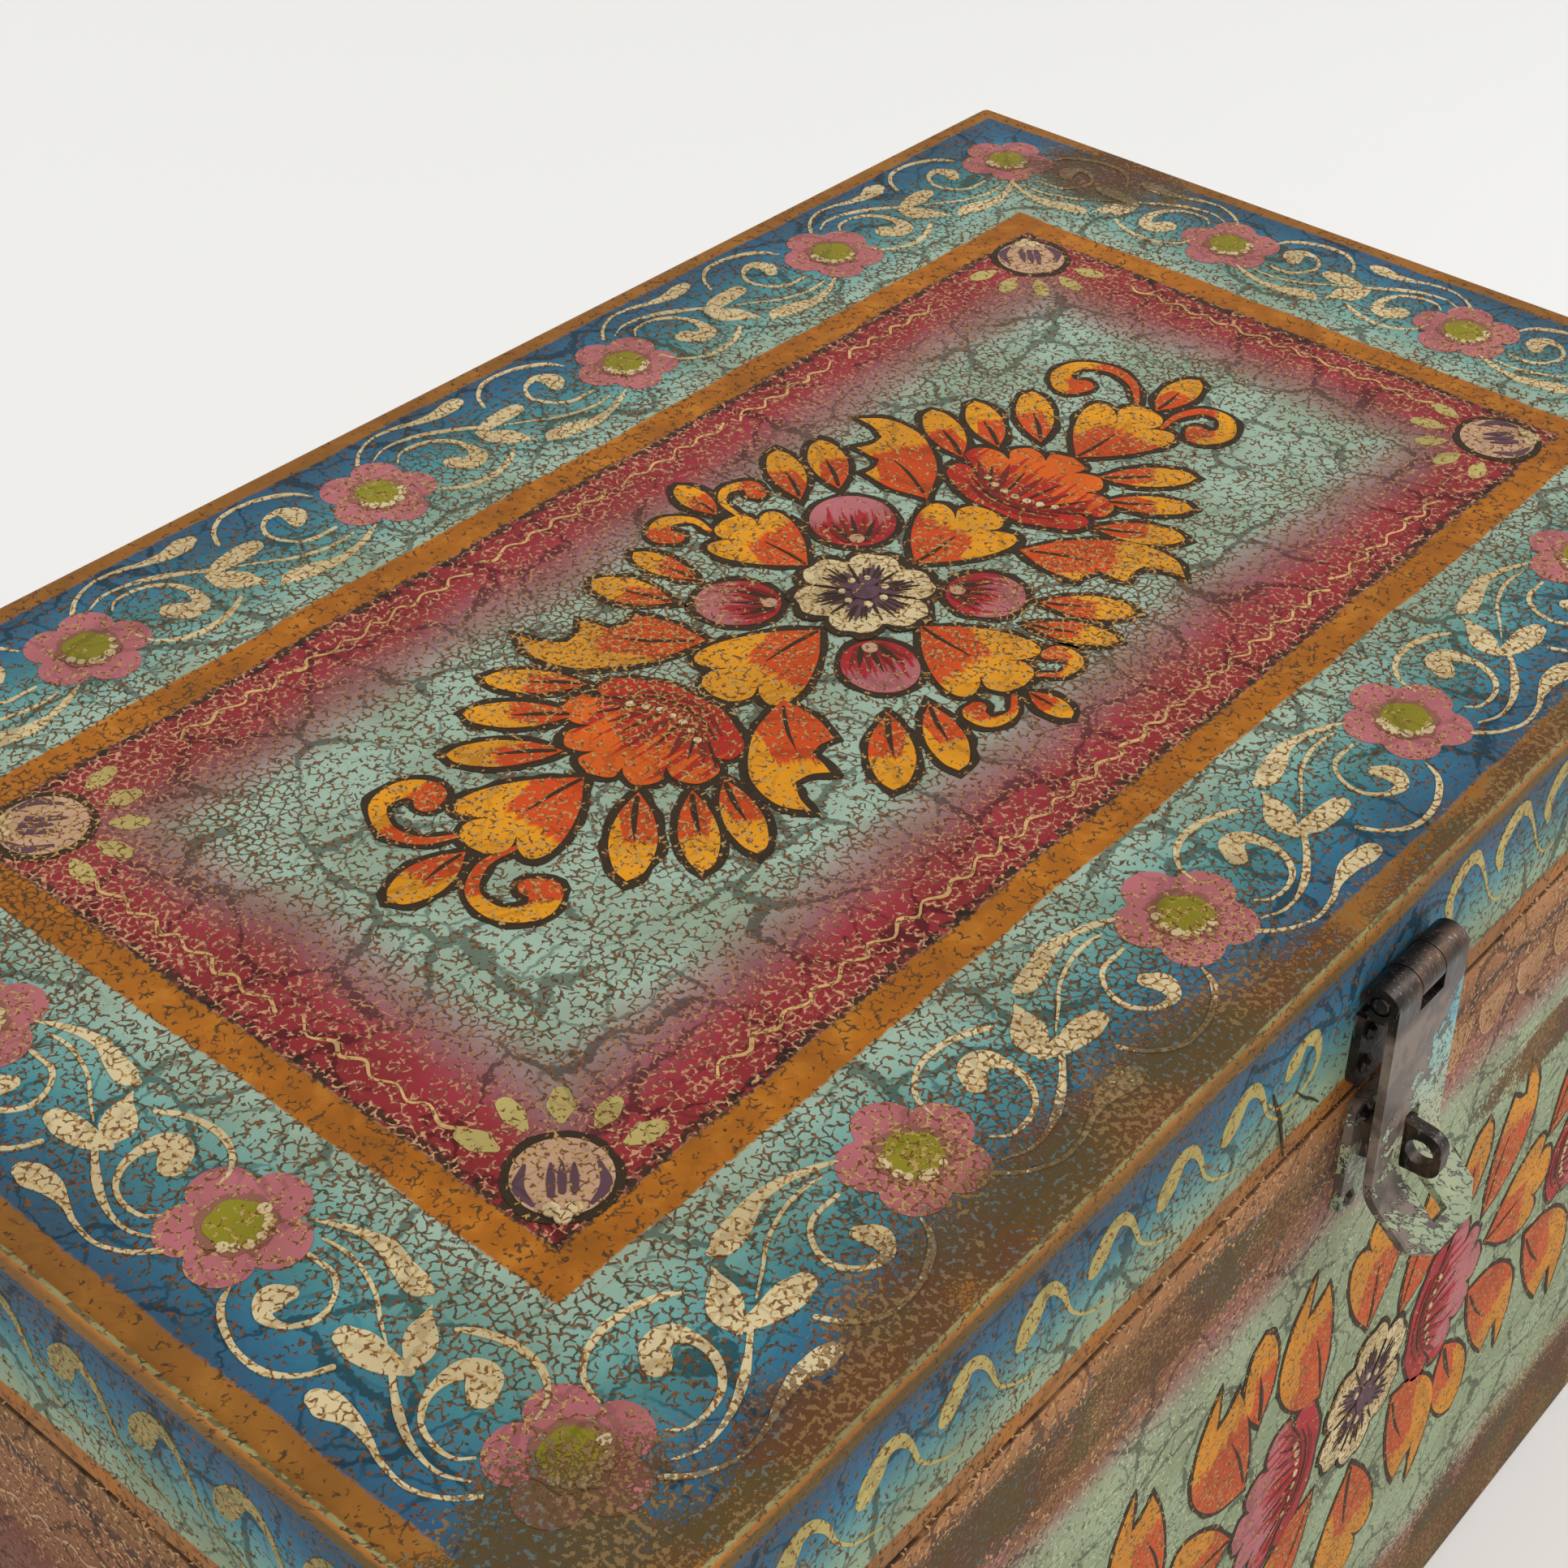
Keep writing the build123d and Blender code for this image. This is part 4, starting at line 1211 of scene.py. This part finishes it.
TOP_CURLS = [
    [(80.8, 3.4, 0.8), (85.4, 7.6, 1.6), (87.0, 13.0, 2.2), (84.4, 18.0, 2.6), (79.8, 18.6, 3.4),
     (77.2, 15.4, 5.0), (79.0, 13.6, 4.0)],
    [(76.4, -4.6, 0.8), (81.4, -4.4, 1.4), (85.8, -6.8, 2.0), (86.0, -11.0, 2.6), (81.8, -13.6, 3.4),
     (78.4, -11.2, 4.8), (79.4, -9.4, 3.6)],
    [(-76.4, 5.4, 0.8), (-80.4, 8.4, 1.6), (-81.8, 13.4, 2.2), (-79.0, 18.2, 2.6), (-74.4, 18.2, 3.8),
     (-72.6, 15.2, 4.8), (-74.2, 13.6, 3.8)],
    [(-72.8, -2.2, 0.8), (-78.2, -1.4, 1.5), (-83.2, -4.4, 2.0), (-84.0, -9.8, 2.6), (-80.4, -13.2, 3.6),
     (-76.8, -11.6, 4.6), (-77.4, -9.4, 3.6)],
    [(8.6, 30.4, 0.8), (9.8, 34.6, 1.2), (13.0, 36.6, 1.8), (16.4, 34.8, 2.8), (15.4, 32.4, 3.4)],
    [(2.2, 30.6, 0.8), (2.6, 34.6, 1.6), (-0.6, 37.4, 2.8), (-4.0, 35.6, 4.0), (-3.0, 33.4, 3.4)],
    [(5.4, -30.8, 0.8), (8.0, -33.6, 1.4), (11.8, -33.2, 2.4), (12.2, -30.2, 3.4), (10.6, -29.2, 2.6)],
    [(-1.0, -31.4, 0.8), (-4.6, -33.8, 1.4), (-8.4, -32.8, 2.4), (-8.4, -29.8, 3.4), (-6.8, -29.2, 2.6)],
]
TOP_PALMS = [((36.6, 0.8), (58.0, 0.8), 1.05), ((-31.4, 2.0), (-54.4, 2.0), 0.94)]


def top_medallion(paints, rng):
    """The long group of leaves, buds and flowers in the middle of the lid."""
    for number, (base, tip, wide) in enumerate(TOP_HEARTS):
        heart_leaf(paints, LID_TOP, base, tip, wide, number)
    for number, (base, tip, wide) in enumerate(TOP_LEAVES):
        small_leaf(paints, LID_TOP, base, tip, wide, number)
    for number, (base, tip, flip) in enumerate(TOP_TOOTHED):
        leaf(paints, LID_TOP, TOOTHED_LEAF, TOOTHED_LONG, base, tip, 1.0, 0.46, flip, number)
    for number, (base, tip, wide) in enumerate(TOP_PALMS, 1):
        palmette(paints, LID_TOP, base, tip, "palm", wide, number, rng)
    for base, tip, wide in TOP_BUDS:
        bud(paints, LID_TOP, base, tip, wide, rng)
    for points in TOP_CURLS:
        curl(paints, LID_TOP, points)
    cream_flower(paints, LID_TOP, Vector((5.0, 1.4)), 11.2, 0.5, 1.0, rng)


FRONT_HEARTS = [
    ((15.4, -100.6), (14.4, -72.0), 0.72),
    ((20.0, -138.0), (23.6, -171.5), 0.66),
    ((58.6, -116.2), (81.0, -113.6), 1.15),
    ((-21.0, -116.2), (-43.4, -113.6), 1.15),
]
FRONT_FLAMES = [
    ((1.8, -104.2), (-6.8, -70.0), False),
    ((-19.2, -106.2), (-31.6, -72.6), False),
    ((-41.6, -105.2), (-52.6, -75.0), False),
    ((27.4, -107.4), (34.6, -76.2), True),
    ((54.6, -106.6), (61.6, -76.2), True),
    ((78.0, -105.4), (89.0, -76.0), True),
    ((31.6, -131.6), (45.8, -166.4), False),
    ((56.0, -126.6), (75.0, -156.6), False),
    ((77.6, -130.2), (97.0, -161.0), False),
    ((6.4, -131.6), (-7.8, -166.4), True),
    ((-18.0, -126.6), (-37.0, -156.6), True),
    ((-39.6, -130.2), (-59.0, -161.0), True),
]
FRONT_LEAVES = [
    ((-17.8, -92.8), (-21.0, -70.8), 0.8),
    ((45.0, -101.2), (47.6, -79.6), 0.84),
    ((50.2, -135.2), (60.4, -160.0), 0.86),
    ((-12.2, -135.2), (-22.4, -160.0), 0.86),
    ((-60.0, -112.0), (-72.0, -100.0), 0.9),
    ((98.0, -112.0), (110.0, -100.0), 0.9),
    ((100.0, -124.0), (113.0, -134.0), 0.9),
    ((-62.0, -124.0), (-75.0, -134.0), 0.9),
]
FRONT_PALMS = [
    ((4.4, -119.0), (-19.4, -118.6), 1.14),
    ((33.2, -119.0), (56.6, -118.0), 1.16),
    ((82.0, -118.0), (100.0, -118.0), 1.0),
    ((-44.0, -118.0), (-62.0, -118.0), 1.0),
]


def front_medallion(paints, rng):
    """The group of flowers, palmettes and flame-like leaves on the front of the case."""
    for number, (base, tip, wide) in enumerate(FRONT_HEARTS):
        heart_leaf(paints, FRONT, base, tip, wide, number)
    for number, (base, tip, flip) in enumerate(FRONT_FLAMES):
        leaf(paints, FRONT, FLAME_LEAF, FLAME_LONG, base, tip, 1.0, 0.5, flip, number)
    for number, (base, tip, wide) in enumerate(FRONT_LEAVES):
        small_leaf(paints, FRONT, base, tip, wide, number)
    for number, (base, tip, wide) in enumerate(FRONT_PALMS, 3):
        palmette(paints, FRONT, base, tip, "bud", wide, number, rng)
    cream_flower(paints, FRONT, Vector((18.8, -119.4)), 13.2, 1.57, 1.2, rng)


RIM_PITCH = 14.5
RIM_STROKE = [(-0.8, -1.2, 3.4), (0.0, 0.2, 4.4), (2.2, 3.0, 3.4), (4.7, 2.9, 2.3), (7.0, 0.2, 1.5),
              (8.5, -3.4, 1.0), (9.7, -5.4, 0.8), (12.2, -7.6, 0.7), (15.2, -9.1, 0.6), (17.6, -9.7, 0.4)]
RIM_HOOK = [(-0.6, -0.8, 2.6), (0.2, 0.2, 3.7), (2.4, 2.2, 2.6), (4.7, 1.7, 2.5), (6.4, -0.9, 1.8),
            (6.7, -4.0, 1.4), (4.7, -6.5, 1.2), (1.2, -7.3, 1.0), (-1.9, -6.5, 0.9), (-4.0, -4.5, 0.8),
            (-5.2, -3.2, 0.5)]
RIM_TALL = [(-0.2, -0.6, 1.6), (-1.4, 3.2, 2.8), (0.8, 6.8, 3.4), (4.4, 7.6, 2.7), (7.0, 4.8, 1.4),
            (9.5, 0.8, 0.8), (12.0, -3.8, 0.7), (15.0, -6.8, 0.6), (18.5, -7.4, 0.4)]
RIM_DROP = 14.4
HOOK_PLACE = -25.6
TALL_PLACE = 16.0
TALL_DROP = 15.4


def rim_row(paints, side, shape, places, drop, rng):
    """One straw-coloured stroke at each place along a side of the lid."""
    for x in places:
        moved = []
        for along, up, width in shape:
            spot = (x + along, -drop + up + rng.uniform(-0.2, 0.2))
            thin = 0.55 + 0.45 * min(1.0, width / 3)
            moved.append((*spot, width * thin * rng.uniform(0.9, 1.1)))
        paints["straw" if side is FRONT else "faded"].film(side, ribbon(moved, 4), 1)


def rim_strokes(paints, side, half, rng):
    """The strokes along one side of the lid, with a hook at the hasp, or else near one end."""
    hasp = side is FRONT
    start = HOOK_PLACE if hasp else half - 22.0
    rim_row(paints, side, RIM_HOOK, [start], RIM_DROP, rng)
    count = int((half - 14.0 + start) / RIM_PITCH)
    rim_row(paints, side, RIM_STROKE, [start - RIM_PITCH * (k + 1) for k in range(count)], RIM_DROP, rng)
    if hasp:
        count = int((half - 30.0 - TALL_PLACE) / RIM_PITCH)
        places = [TALL_PLACE + RIM_PITCH * k for k in range(count + 1)]
        rim_row(paints, side, RIM_TALL, places, TALL_DROP, rng)


RIM_CRACKS = [
    [(-30.0, -16.4, 0.3), (-28.9, -19.0, 0.7), (-27.3, -22.2, 0.9), (-26.2, -25.6, 0.6),
     (-24.4, -31.6, 0.4)],
    [(-23.6, -20.4, 0.2), (-21.0, -23.4, 0.45), (-18.6, -25.4, 0.4), (-16.4, -27.6, 0.2)],
]
SCALLOP_PITCH = 12.0
SCALLOP_START = 27.2
SCALLOPS = 9
SCALLOP_TOP = -45.4
SCALLOP = [(-4.6, 0.0), (-4.4, 3.6), (-2.4, 7.2), (0.0, 8.2), (2.4, 7.2), (4.4, 3.6), (4.6, 0.0)]


def scallops(paints, rng):
    """What is left of a row of tan scallops below the seam, each with a paler edge."""
    for k in range(SCALLOPS):
        x = SCALLOP_START + k * SCALLOP_PITCH
        hanging = [(x + aside, SCALLOP_TOP - drop) for aside, drop in SCALLOP]
        paints["tan"].film(FRONT, smooth(hanging, 4), 1)
        rim = [(a, b, 0.45 * rng.uniform(0.6, 1.3)) for a, b in hanging]
        paints["blush"].film(FRONT, ribbon(rim, 4), 2)


STREAKS = {"leaf": 0.2, "palm": 1.5, "bud": 1.2}
CASE_LEAF = ((208, 78, 24), (226, 146, 26))


def recipes():
    """Each paint's base and tip colours, how flecked it is, and the slot it belongs to on the lid."""
    c = colours()
    return {
        "dark": (c.dark_line, None, 0.4, "painted_top"),
        "cream": (c.cream, None, 0.8, "painted_top"),
        "straw": (c.straw, None, 0.64, "painted_rim"),
        "faded": ((150, 150, 100), None, 0.9, "painted_rim"),
        "leaf": (c.leaf_base, c.leaf_tip, 0.64, "painted_top"),
        "palm": (c.palm_base, c.palm_tip, 0.56, "painted_top"),
        "bud": (c.wine, c.pink, 0.42, "painted_top"),
        "pink": (c.pink, None, 0.6, "painted_top"),
        "dusk": ((148, 96, 84), None, 0.5, "painted_top"),
        "moss": (c.moss, None, 0.5, "painted_top"),
        "purple": (c.purple, None, 0.36, "painted_top"),
        "maroon": ((120, 16, 26), None, 0.3, "painted_top"),
        "wave": ((226, 184, 124), None, 0.7, "painted_top"),
        "blush": ((208, 168, 142), None, 0.8, "painted_front"),
        "tan": ((184, 134, 96), None, 0.7, "painted_front"),
    }


def paint_set(body, *names):
    """The paints that one body's pattern needs, by name."""
    made, known = {}, recipes()
    for name in names:
        base, tip, amount, slot = known[name]
        if body == "case":
            slot = "painted_front"
            base, tip = CASE_LEAF if name == "leaf" else (base, tip)
        material = stroke_paint(f"{body}_{name}", body, base, tip, STREAKS.get(name, 0.0), amount)
        made[name] = Paint(f"{body}_{name}_paint", body, slot, material)
    return made


def finish_set(paints):
    """Makes the pieces of a set of paints, and fails if one has nothing in it."""
    for paint in paints.values():
        if not paint.count:
            raise RuntimeError(f"no film was painted with {paint.name}")
        paint.finish()


IRON_RUBBED = (150, 140, 132)
SCRATCH_STRETCH = (2.4, 1.0, 0.22)
FLAKE_TOP = 196.0
FLAKE_MIDDLE = 181.0
FLAKE_LOW = 168.0
FLAKE_EDGE = 0.535
FLAKE_TONES = [(5.0, (92, 162, 172)), (13.0, (146, 178, 162)), (24.0, (180, 180, 142)),
               (36.0, (148, 160, 128))]
FLAKE_CRACKS = (60, 66, 56)
# Colour of the painted shade line round the edge of each paint scrap on the strap.
FLAKE_RIM_SHADE = (30, 26, 22)


def iron_paint(name, base, rust, bright=0.5, flaked=False):
    """Old dark iron with brown oiling and pale rubs. A flaked one keeps scraps of the box's paint."""
    material, t, shader, place = new_material(name)
    clouds = t.noise(place, 0.2, 3.0, 0.6, flat=False)
    fine = t.noise(place, 1.5, 3.0, 0.6, flat=False)
    mottle = t.plus(t.times(clouds, 0.7), t.times(fine, 0.3))
    colour = t.ramp(mottle, 1.0, [(0.36, [part * 0.5 for part in base]), (0.5, base), (0.6, rust)])
    scratches = t.noise(t.vector("MULTIPLY", place, SCRATCH_STRETCH), 1.2, 2.0, 0.7, flat=False)
    colour = t.mix(t.times(t.ease(scratches, 0.58, 0.7), bright), colour, IRON_RUBBED)
    metal = t.ease(fine, 0.3, 0.7, 0.5, 0.9)
    rough = t.ease(clouds, 0.3, 0.7, 0.26, 0.48)
    height = fine
    if flaked:
        z = t.split(place)[2]
        under_roll = t.ease(z, FLAKE_TOP + 1.5, FLAKE_TOP - 1.5)
        worn = t.mix(t.ease(clouds, 0.4, 0.6), (84, 72, 64), (130, 114, 102))
        colour = t.mix(t.times(under_roll, 0.9), colour, worn)
        colour, kept = flakes(t, place, colour, fine, under_roll)
        metal = t.times(metal, t.minus(1.0, t.most(kept, under_roll)))
        rough = t.plus(rough, t.times(under_roll, 0.14))
        height = t.plus(t.times(fine, 0.4), kept)
    t.feed(shader.inputs["Metallic"], metal)
    finish_paint(t, shader, colour, height, rough, 0.15)
    shader.inputs["Specular IOR Level"].default_value = IRON_SPECULAR
    return material


def flakes(t, place, colour, fine, under_roll):
    """Cracked scraps of the box's paint, with a dark rim of painted shade round their edges, over a colour.
    Returns the colour and a mask.
    """
    flat = flat_place(t, place, 0)
    x, _, z = t.split(place)
    right = t.times(x, 0.02)
    low = t.times(t.minus(FLAKE_MIDDLE, z), 0.012)
    shape = t.plus(t.noise(flat, 0.24, 4.0, 0.7), t.plus(right, low))
    shape = t.minus(shape, t.ease(z, FLAKE_LOW, FLAKE_LOW - 8.0, 0.0, 0.1))
    edge = t.minus(shape, FLAKE_EDGE)
    kept = t.times(t.ease(edge, 0.0, 0.012), under_roll)
    # A thin line just outside each scrap, painted as the shadow of its edge.
    rim = t.times(t.band(edge, -0.02, 0.004, 0.008), under_roll)
    scraps = t.ramp(t.plus(t.minus(FLAKE_TOP, z), t.sway(16.0, flat, 0.3)), 50.0, FLAKE_TONES)
    cracks = t.ease(t.cell_edge(t.moved(flat, t.drift(flat, 0.9), 2.2), 1.9), 0.12, 0.04)
    scraps = t.mix(t.times(cracks, t.ease(fine, 0.4, 0.52)), scraps, FLAKE_CRACKS)
    return t.mix(kept, t.mix(rim, colour, FLAKE_RIM_SHADE), scraps), kept


def dress(material, *nodes):
    """Gives CAD nodes their material."""
    for node in nodes:
        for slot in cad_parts[node].material_slots:
            slot.material = material


class BOX_OT_boards(bpy.types.Operator):
    """Old paint on the boards of the case and the lid, and bare wood inside"""

    bl_idname = "painted_box.boards"
    bl_label = "Paint the boards"

    def execute(self, context):
        make_groups()
        dress(top_paint(), "lid_top_board")
        dress(side_paint("painted_rim_long", 0), "lid_front_rim", "lid_back_rim")
        dress(side_paint("painted_rim_end", 1), "lid_left_rim", "lid_right_rim")
        dress(panel_paint("painted_front", 0, FRONT_GROUND, FRONT_FLECK), "front_board")
        dress(panel_paint("painted_back", 0, PLAIN_GROUND, PLAIN_FLECK), "back_board")
        dress(panel_paint("painted_end", 1, PLAIN_GROUND, PLAIN_FLECK), "left_end_board", "right_end_board")
        dress(wood_material(), "bottom_board")
        return {"FINISHED"}


class BOX_OT_lid_pattern(bpy.types.Operator):
    """Flowers, scrolls, leaves and lines on the lid"""

    bl_idname = "painted_box.lid_pattern"
    bl_label = "Paint the lid's pattern"

    def execute(self, context):
        rng = random.Random(7)
        paints = paint_set("lid", "dark", "cream", "straw", "faded", "leaf", "palm", "bud", "pink", "dusk",
                           "moss", "purple", "maroon", "blush", "wave")
        top_border(paints, rng)
        panel_edge(paints, rng)
        top_medallion(paints, rng)
        for side in (FRONT, BACK_SIDE):
            rim_strokes(paints, side, HALF_LONG, rng)
        for side in (LEFT_END, RIGHT_END):
            rim_strokes(paints, side, HALF_DEEP, rng)
        for points in RIM_CRACKS:
            paints["dark"].film(FRONT, ribbon(points, 4), 2)
        finish_set(paints)
        return {"FINISHED"}


SIDE_WAVE_STOP = 18.0
SIDE_WAVE_UP = -53.0


class BOX_OT_front_pattern(bpy.types.Operator):
    """Leaves and flowers on the front of the case, and the lines on its ends"""

    bl_idname = "painted_box.front_pattern"
    bl_label = "Paint the front's pattern"

    def execute(self, context):
        rng = random.Random(11)
        paints = paint_set("case", "dark", "cream", "leaf", "bud", "purple", "maroon", "blush", "tan")
        front_medallion(paints, rng)
        scallops(paints, rng)
        for side in (LEFT_END, RIGHT_END):
            stop = HALF_DEEP - SIDE_WAVE_STOP
            wave_line(paints["blush"], side, (-stop, SIDE_WAVE_UP), (stop, SIDE_WAVE_UP), rng)
        finish_set(paints)
        return {"FINISHED"}


class BOX_OT_ironwork(bpy.types.Operator):
    """Worn dark iron with flakes of paint on the hasp, and plain iron on the hinges"""

    bl_idname = "painted_box.ironwork"
    bl_label = "Finish the ironwork"

    def execute(self, context):
        c = colours()
        strap = iron_paint("dark_iron_flaked", c.iron, (86, 64, 50), flaked=True)
        dark = iron_paint("dark_iron", c.iron, (84, 62, 48))
        plain = iron_paint("hinge_iron", c.old_iron, (112, 80, 58), bright=0.4)
        screws = iron_paint("screw_steel", c.old_iron, (120, 96, 70), bright=0.8)
        dress(strap, "hasp_strap", "staple_plate")
        dress(dark, "hasp_fixed_leaf", "hasp_pin", "staple_eye", "hasp_leaf_nails", "staple_nails")
        dress(plain, "hinge_lower_leaves", "hinge_upper_leaves", "hinge_pins")
        dress(screws, "hinge_lower_screws", "hinge_upper_screws")
        return {"FINISHED"}


CAMERA_AT = Vector((-0.268073, -0.207211, 0.449322))
CAMERA_AZIMUTH = 51.054
CAMERA_DOWN = 34.666
CAMERA_ROLL = 1.648
CAMERA_FOCUS = 3390.7
PHOTO_WIDE = 1932
PHOTO_CENTRE = (1019.7, 759.3)
SENSOR = 36.0
LAMP_TARGET = Vector((0.0, 0.0, 0.15))
FLOOR_HALF = 6.0
FLOOR_COLOUR = (0.97, 0.97, 0.96, 1.0)
SKY_COLOUR = (1.0, 0.985, 0.96)
SKY_STRENGTH = 0.5


def add_camera():
    """The photograph's camera, found from the box's own edges."""
    azimuth, down, roll = (math.radians(turn) for turn in (CAMERA_AZIMUTH, CAMERA_DOWN, CAMERA_ROLL))
    ahead = Vector((math.sin(azimuth) * math.cos(down), math.cos(azimuth) * math.cos(down), -math.sin(down)))
    right = ahead.cross(Vector((0, 0, 1))).normalized()
    up = right.cross(ahead)
    right, up = (
        right * math.cos(roll) + up * math.sin(roll),
        up * math.cos(roll) - right * math.sin(roll),
    )
    turn = Matrix((right, up, -ahead)).transposed().to_4x4()
    data = bpy.data.cameras.new("camera")
    data.sensor_width = SENSOR
    data.lens = SENSOR * CAMERA_FOCUS / PHOTO_WIDE
    data.shift_x = (PHOTO_WIDE / 2 - PHOTO_CENTRE[0]) / PHOTO_WIDE
    data.shift_y = (PHOTO_CENTRE[1] - PHOTO_WIDE / 2) / PHOTO_WIDE
    camera = bpy.data.objects.new("camera", data)
    camera.matrix_world = Matrix.Translation(CAMERA_AT) @ turn
    bpy.context.scene.collection.objects.link(camera)
    bpy.context.scene.camera = camera


def add_lamp(name, place, size, power):
    """A soft square lamp that points at the box."""
    data = bpy.data.lights.new(name, "AREA")
    data.size = size
    data.energy = power
    lamp = bpy.data.objects.new(name, data)
    place = Vector(place)
    turn = (LAMP_TARGET - place).to_track_quat("-Z", "Y").to_matrix().to_4x4()
    lamp.matrix_world = Matrix.Translation(place) @ turn
    bpy.context.scene.collection.objects.link(lamp)


def add_floor():
    """A wide pale floor, which isn't part of the box."""
    mesh = bmesh.new()
    bmesh.ops.create_grid(mesh, x_segments=1, y_segments=1, size=FLOOR_HALF)
    data = bpy.data.meshes.new("floor")
    mesh.to_mesh(data)
    mesh.free()
    floor = bpy.data.objects.new("floor", data)
    bpy.context.scene.collection.objects.link(floor)
    material = bpy.data.materials.new("floor_white")
    material.use_nodes = True
    shader = material.node_tree.nodes["Principled BSDF"]
    shader.inputs["Base Color"].default_value = FLOOR_COLOUR
    shader.inputs["Roughness"].default_value = 0.7
    floor.data.materials.append(material)


def add_world():
    """Soft light from all round, which shows as plain white to the camera and in reflections."""
    world = bpy.data.worlds.new("studio")
    world.use_nodes = True
    bpy.context.scene.world = world
    t = Tree(world.node_tree)
    soft = world.node_tree.nodes["Background"]
    t.feed(soft.inputs["Color"], SKY_COLOUR)
    t.feed(soft.inputs["Strength"], SKY_STRENGTH)
    path = t.node("ShaderNodeLightPath").outputs
    seen = t.most(path["Is Camera Ray"], path["Is Glossy Ray"], path["Is Transmission Ray"])
    white = t.node("ShaderNodeBackground", {"Color": 1.0, "Strength": 1.0})
    made = t.node("ShaderNodeMixShader", {0: seen, 1: soft.outputs[0], 2: white.outputs[0]})
    t.feed(world.node_tree.nodes["World Output"].inputs["Surface"], made.outputs[0])


class BOX_OT_stage(bpy.types.Operator):
    """A pale floor, soft lamps, the background and the camera"""

    bl_idname = "painted_box.stage"
    bl_label = "Set the stage"

    def execute(self, context):
        add_camera()
        add_floor()
        add_world()
        add_lamp("window", (0.9, -0.9, 1.5), 1.0, 15.0)
        add_lamp("fill", (-1.3, -0.7, 0.9), 1.2, 5.0)
        add_lamp("back", (-0.2, 1.5, 1.2), 1.2, 6.0)
        context.scene.view_settings.view_transform = "Standard"
        return {"FINISHED"}


OPERATORS = (BOX_OT_boards, BOX_OT_lid_pattern, BOX_OT_front_pattern, BOX_OT_ironwork, BOX_OT_stage)


class BOX_PT_panel(bpy.types.Panel):
    """Lists the box's sizes, colours and steps"""

    bl_idname = "BOX_PT_panel"
    bl_label = "Painted Box"
    bl_space_type = "VIEW_3D"
    bl_region_type = "UI"
    bl_category = "Painted Box"

    def draw(self, context):
        for operator in OPERATORS:
            self.layout.operator(operator.bl_idname)
        for group in (context.scene.paint_sizes, context.scene.paint_colours):
            for name in group.bl_rna.properties.keys():
                if name not in ("rna_type", "name"):
                    self.layout.prop(group, name)


CLASSES = (PaintSizes, PaintColours, *OPERATORS, BOX_PT_panel)


def register():
    for cls in CLASSES:
        bpy.utils.register_class(cls)
    bpy.types.Scene.paint_sizes = PointerProperty(type=PaintSizes)
    bpy.types.Scene.paint_colours = PointerProperty(type=PaintColours)


def unregister():
    del bpy.types.Scene.paint_colours
    del bpy.types.Scene.paint_sizes
    for cls in reversed(CLASSES):
        bpy.utils.unregister_class(cls)


def main():
    register()
    bpy.ops.painted_box.boards()
    bpy.ops.painted_box.lid_pattern()
    bpy.ops.painted_box.front_pattern()
    bpy.ops.painted_box.ironwork()
    bpy.ops.painted_box.stage()


if __name__ == "__main__":
    main()
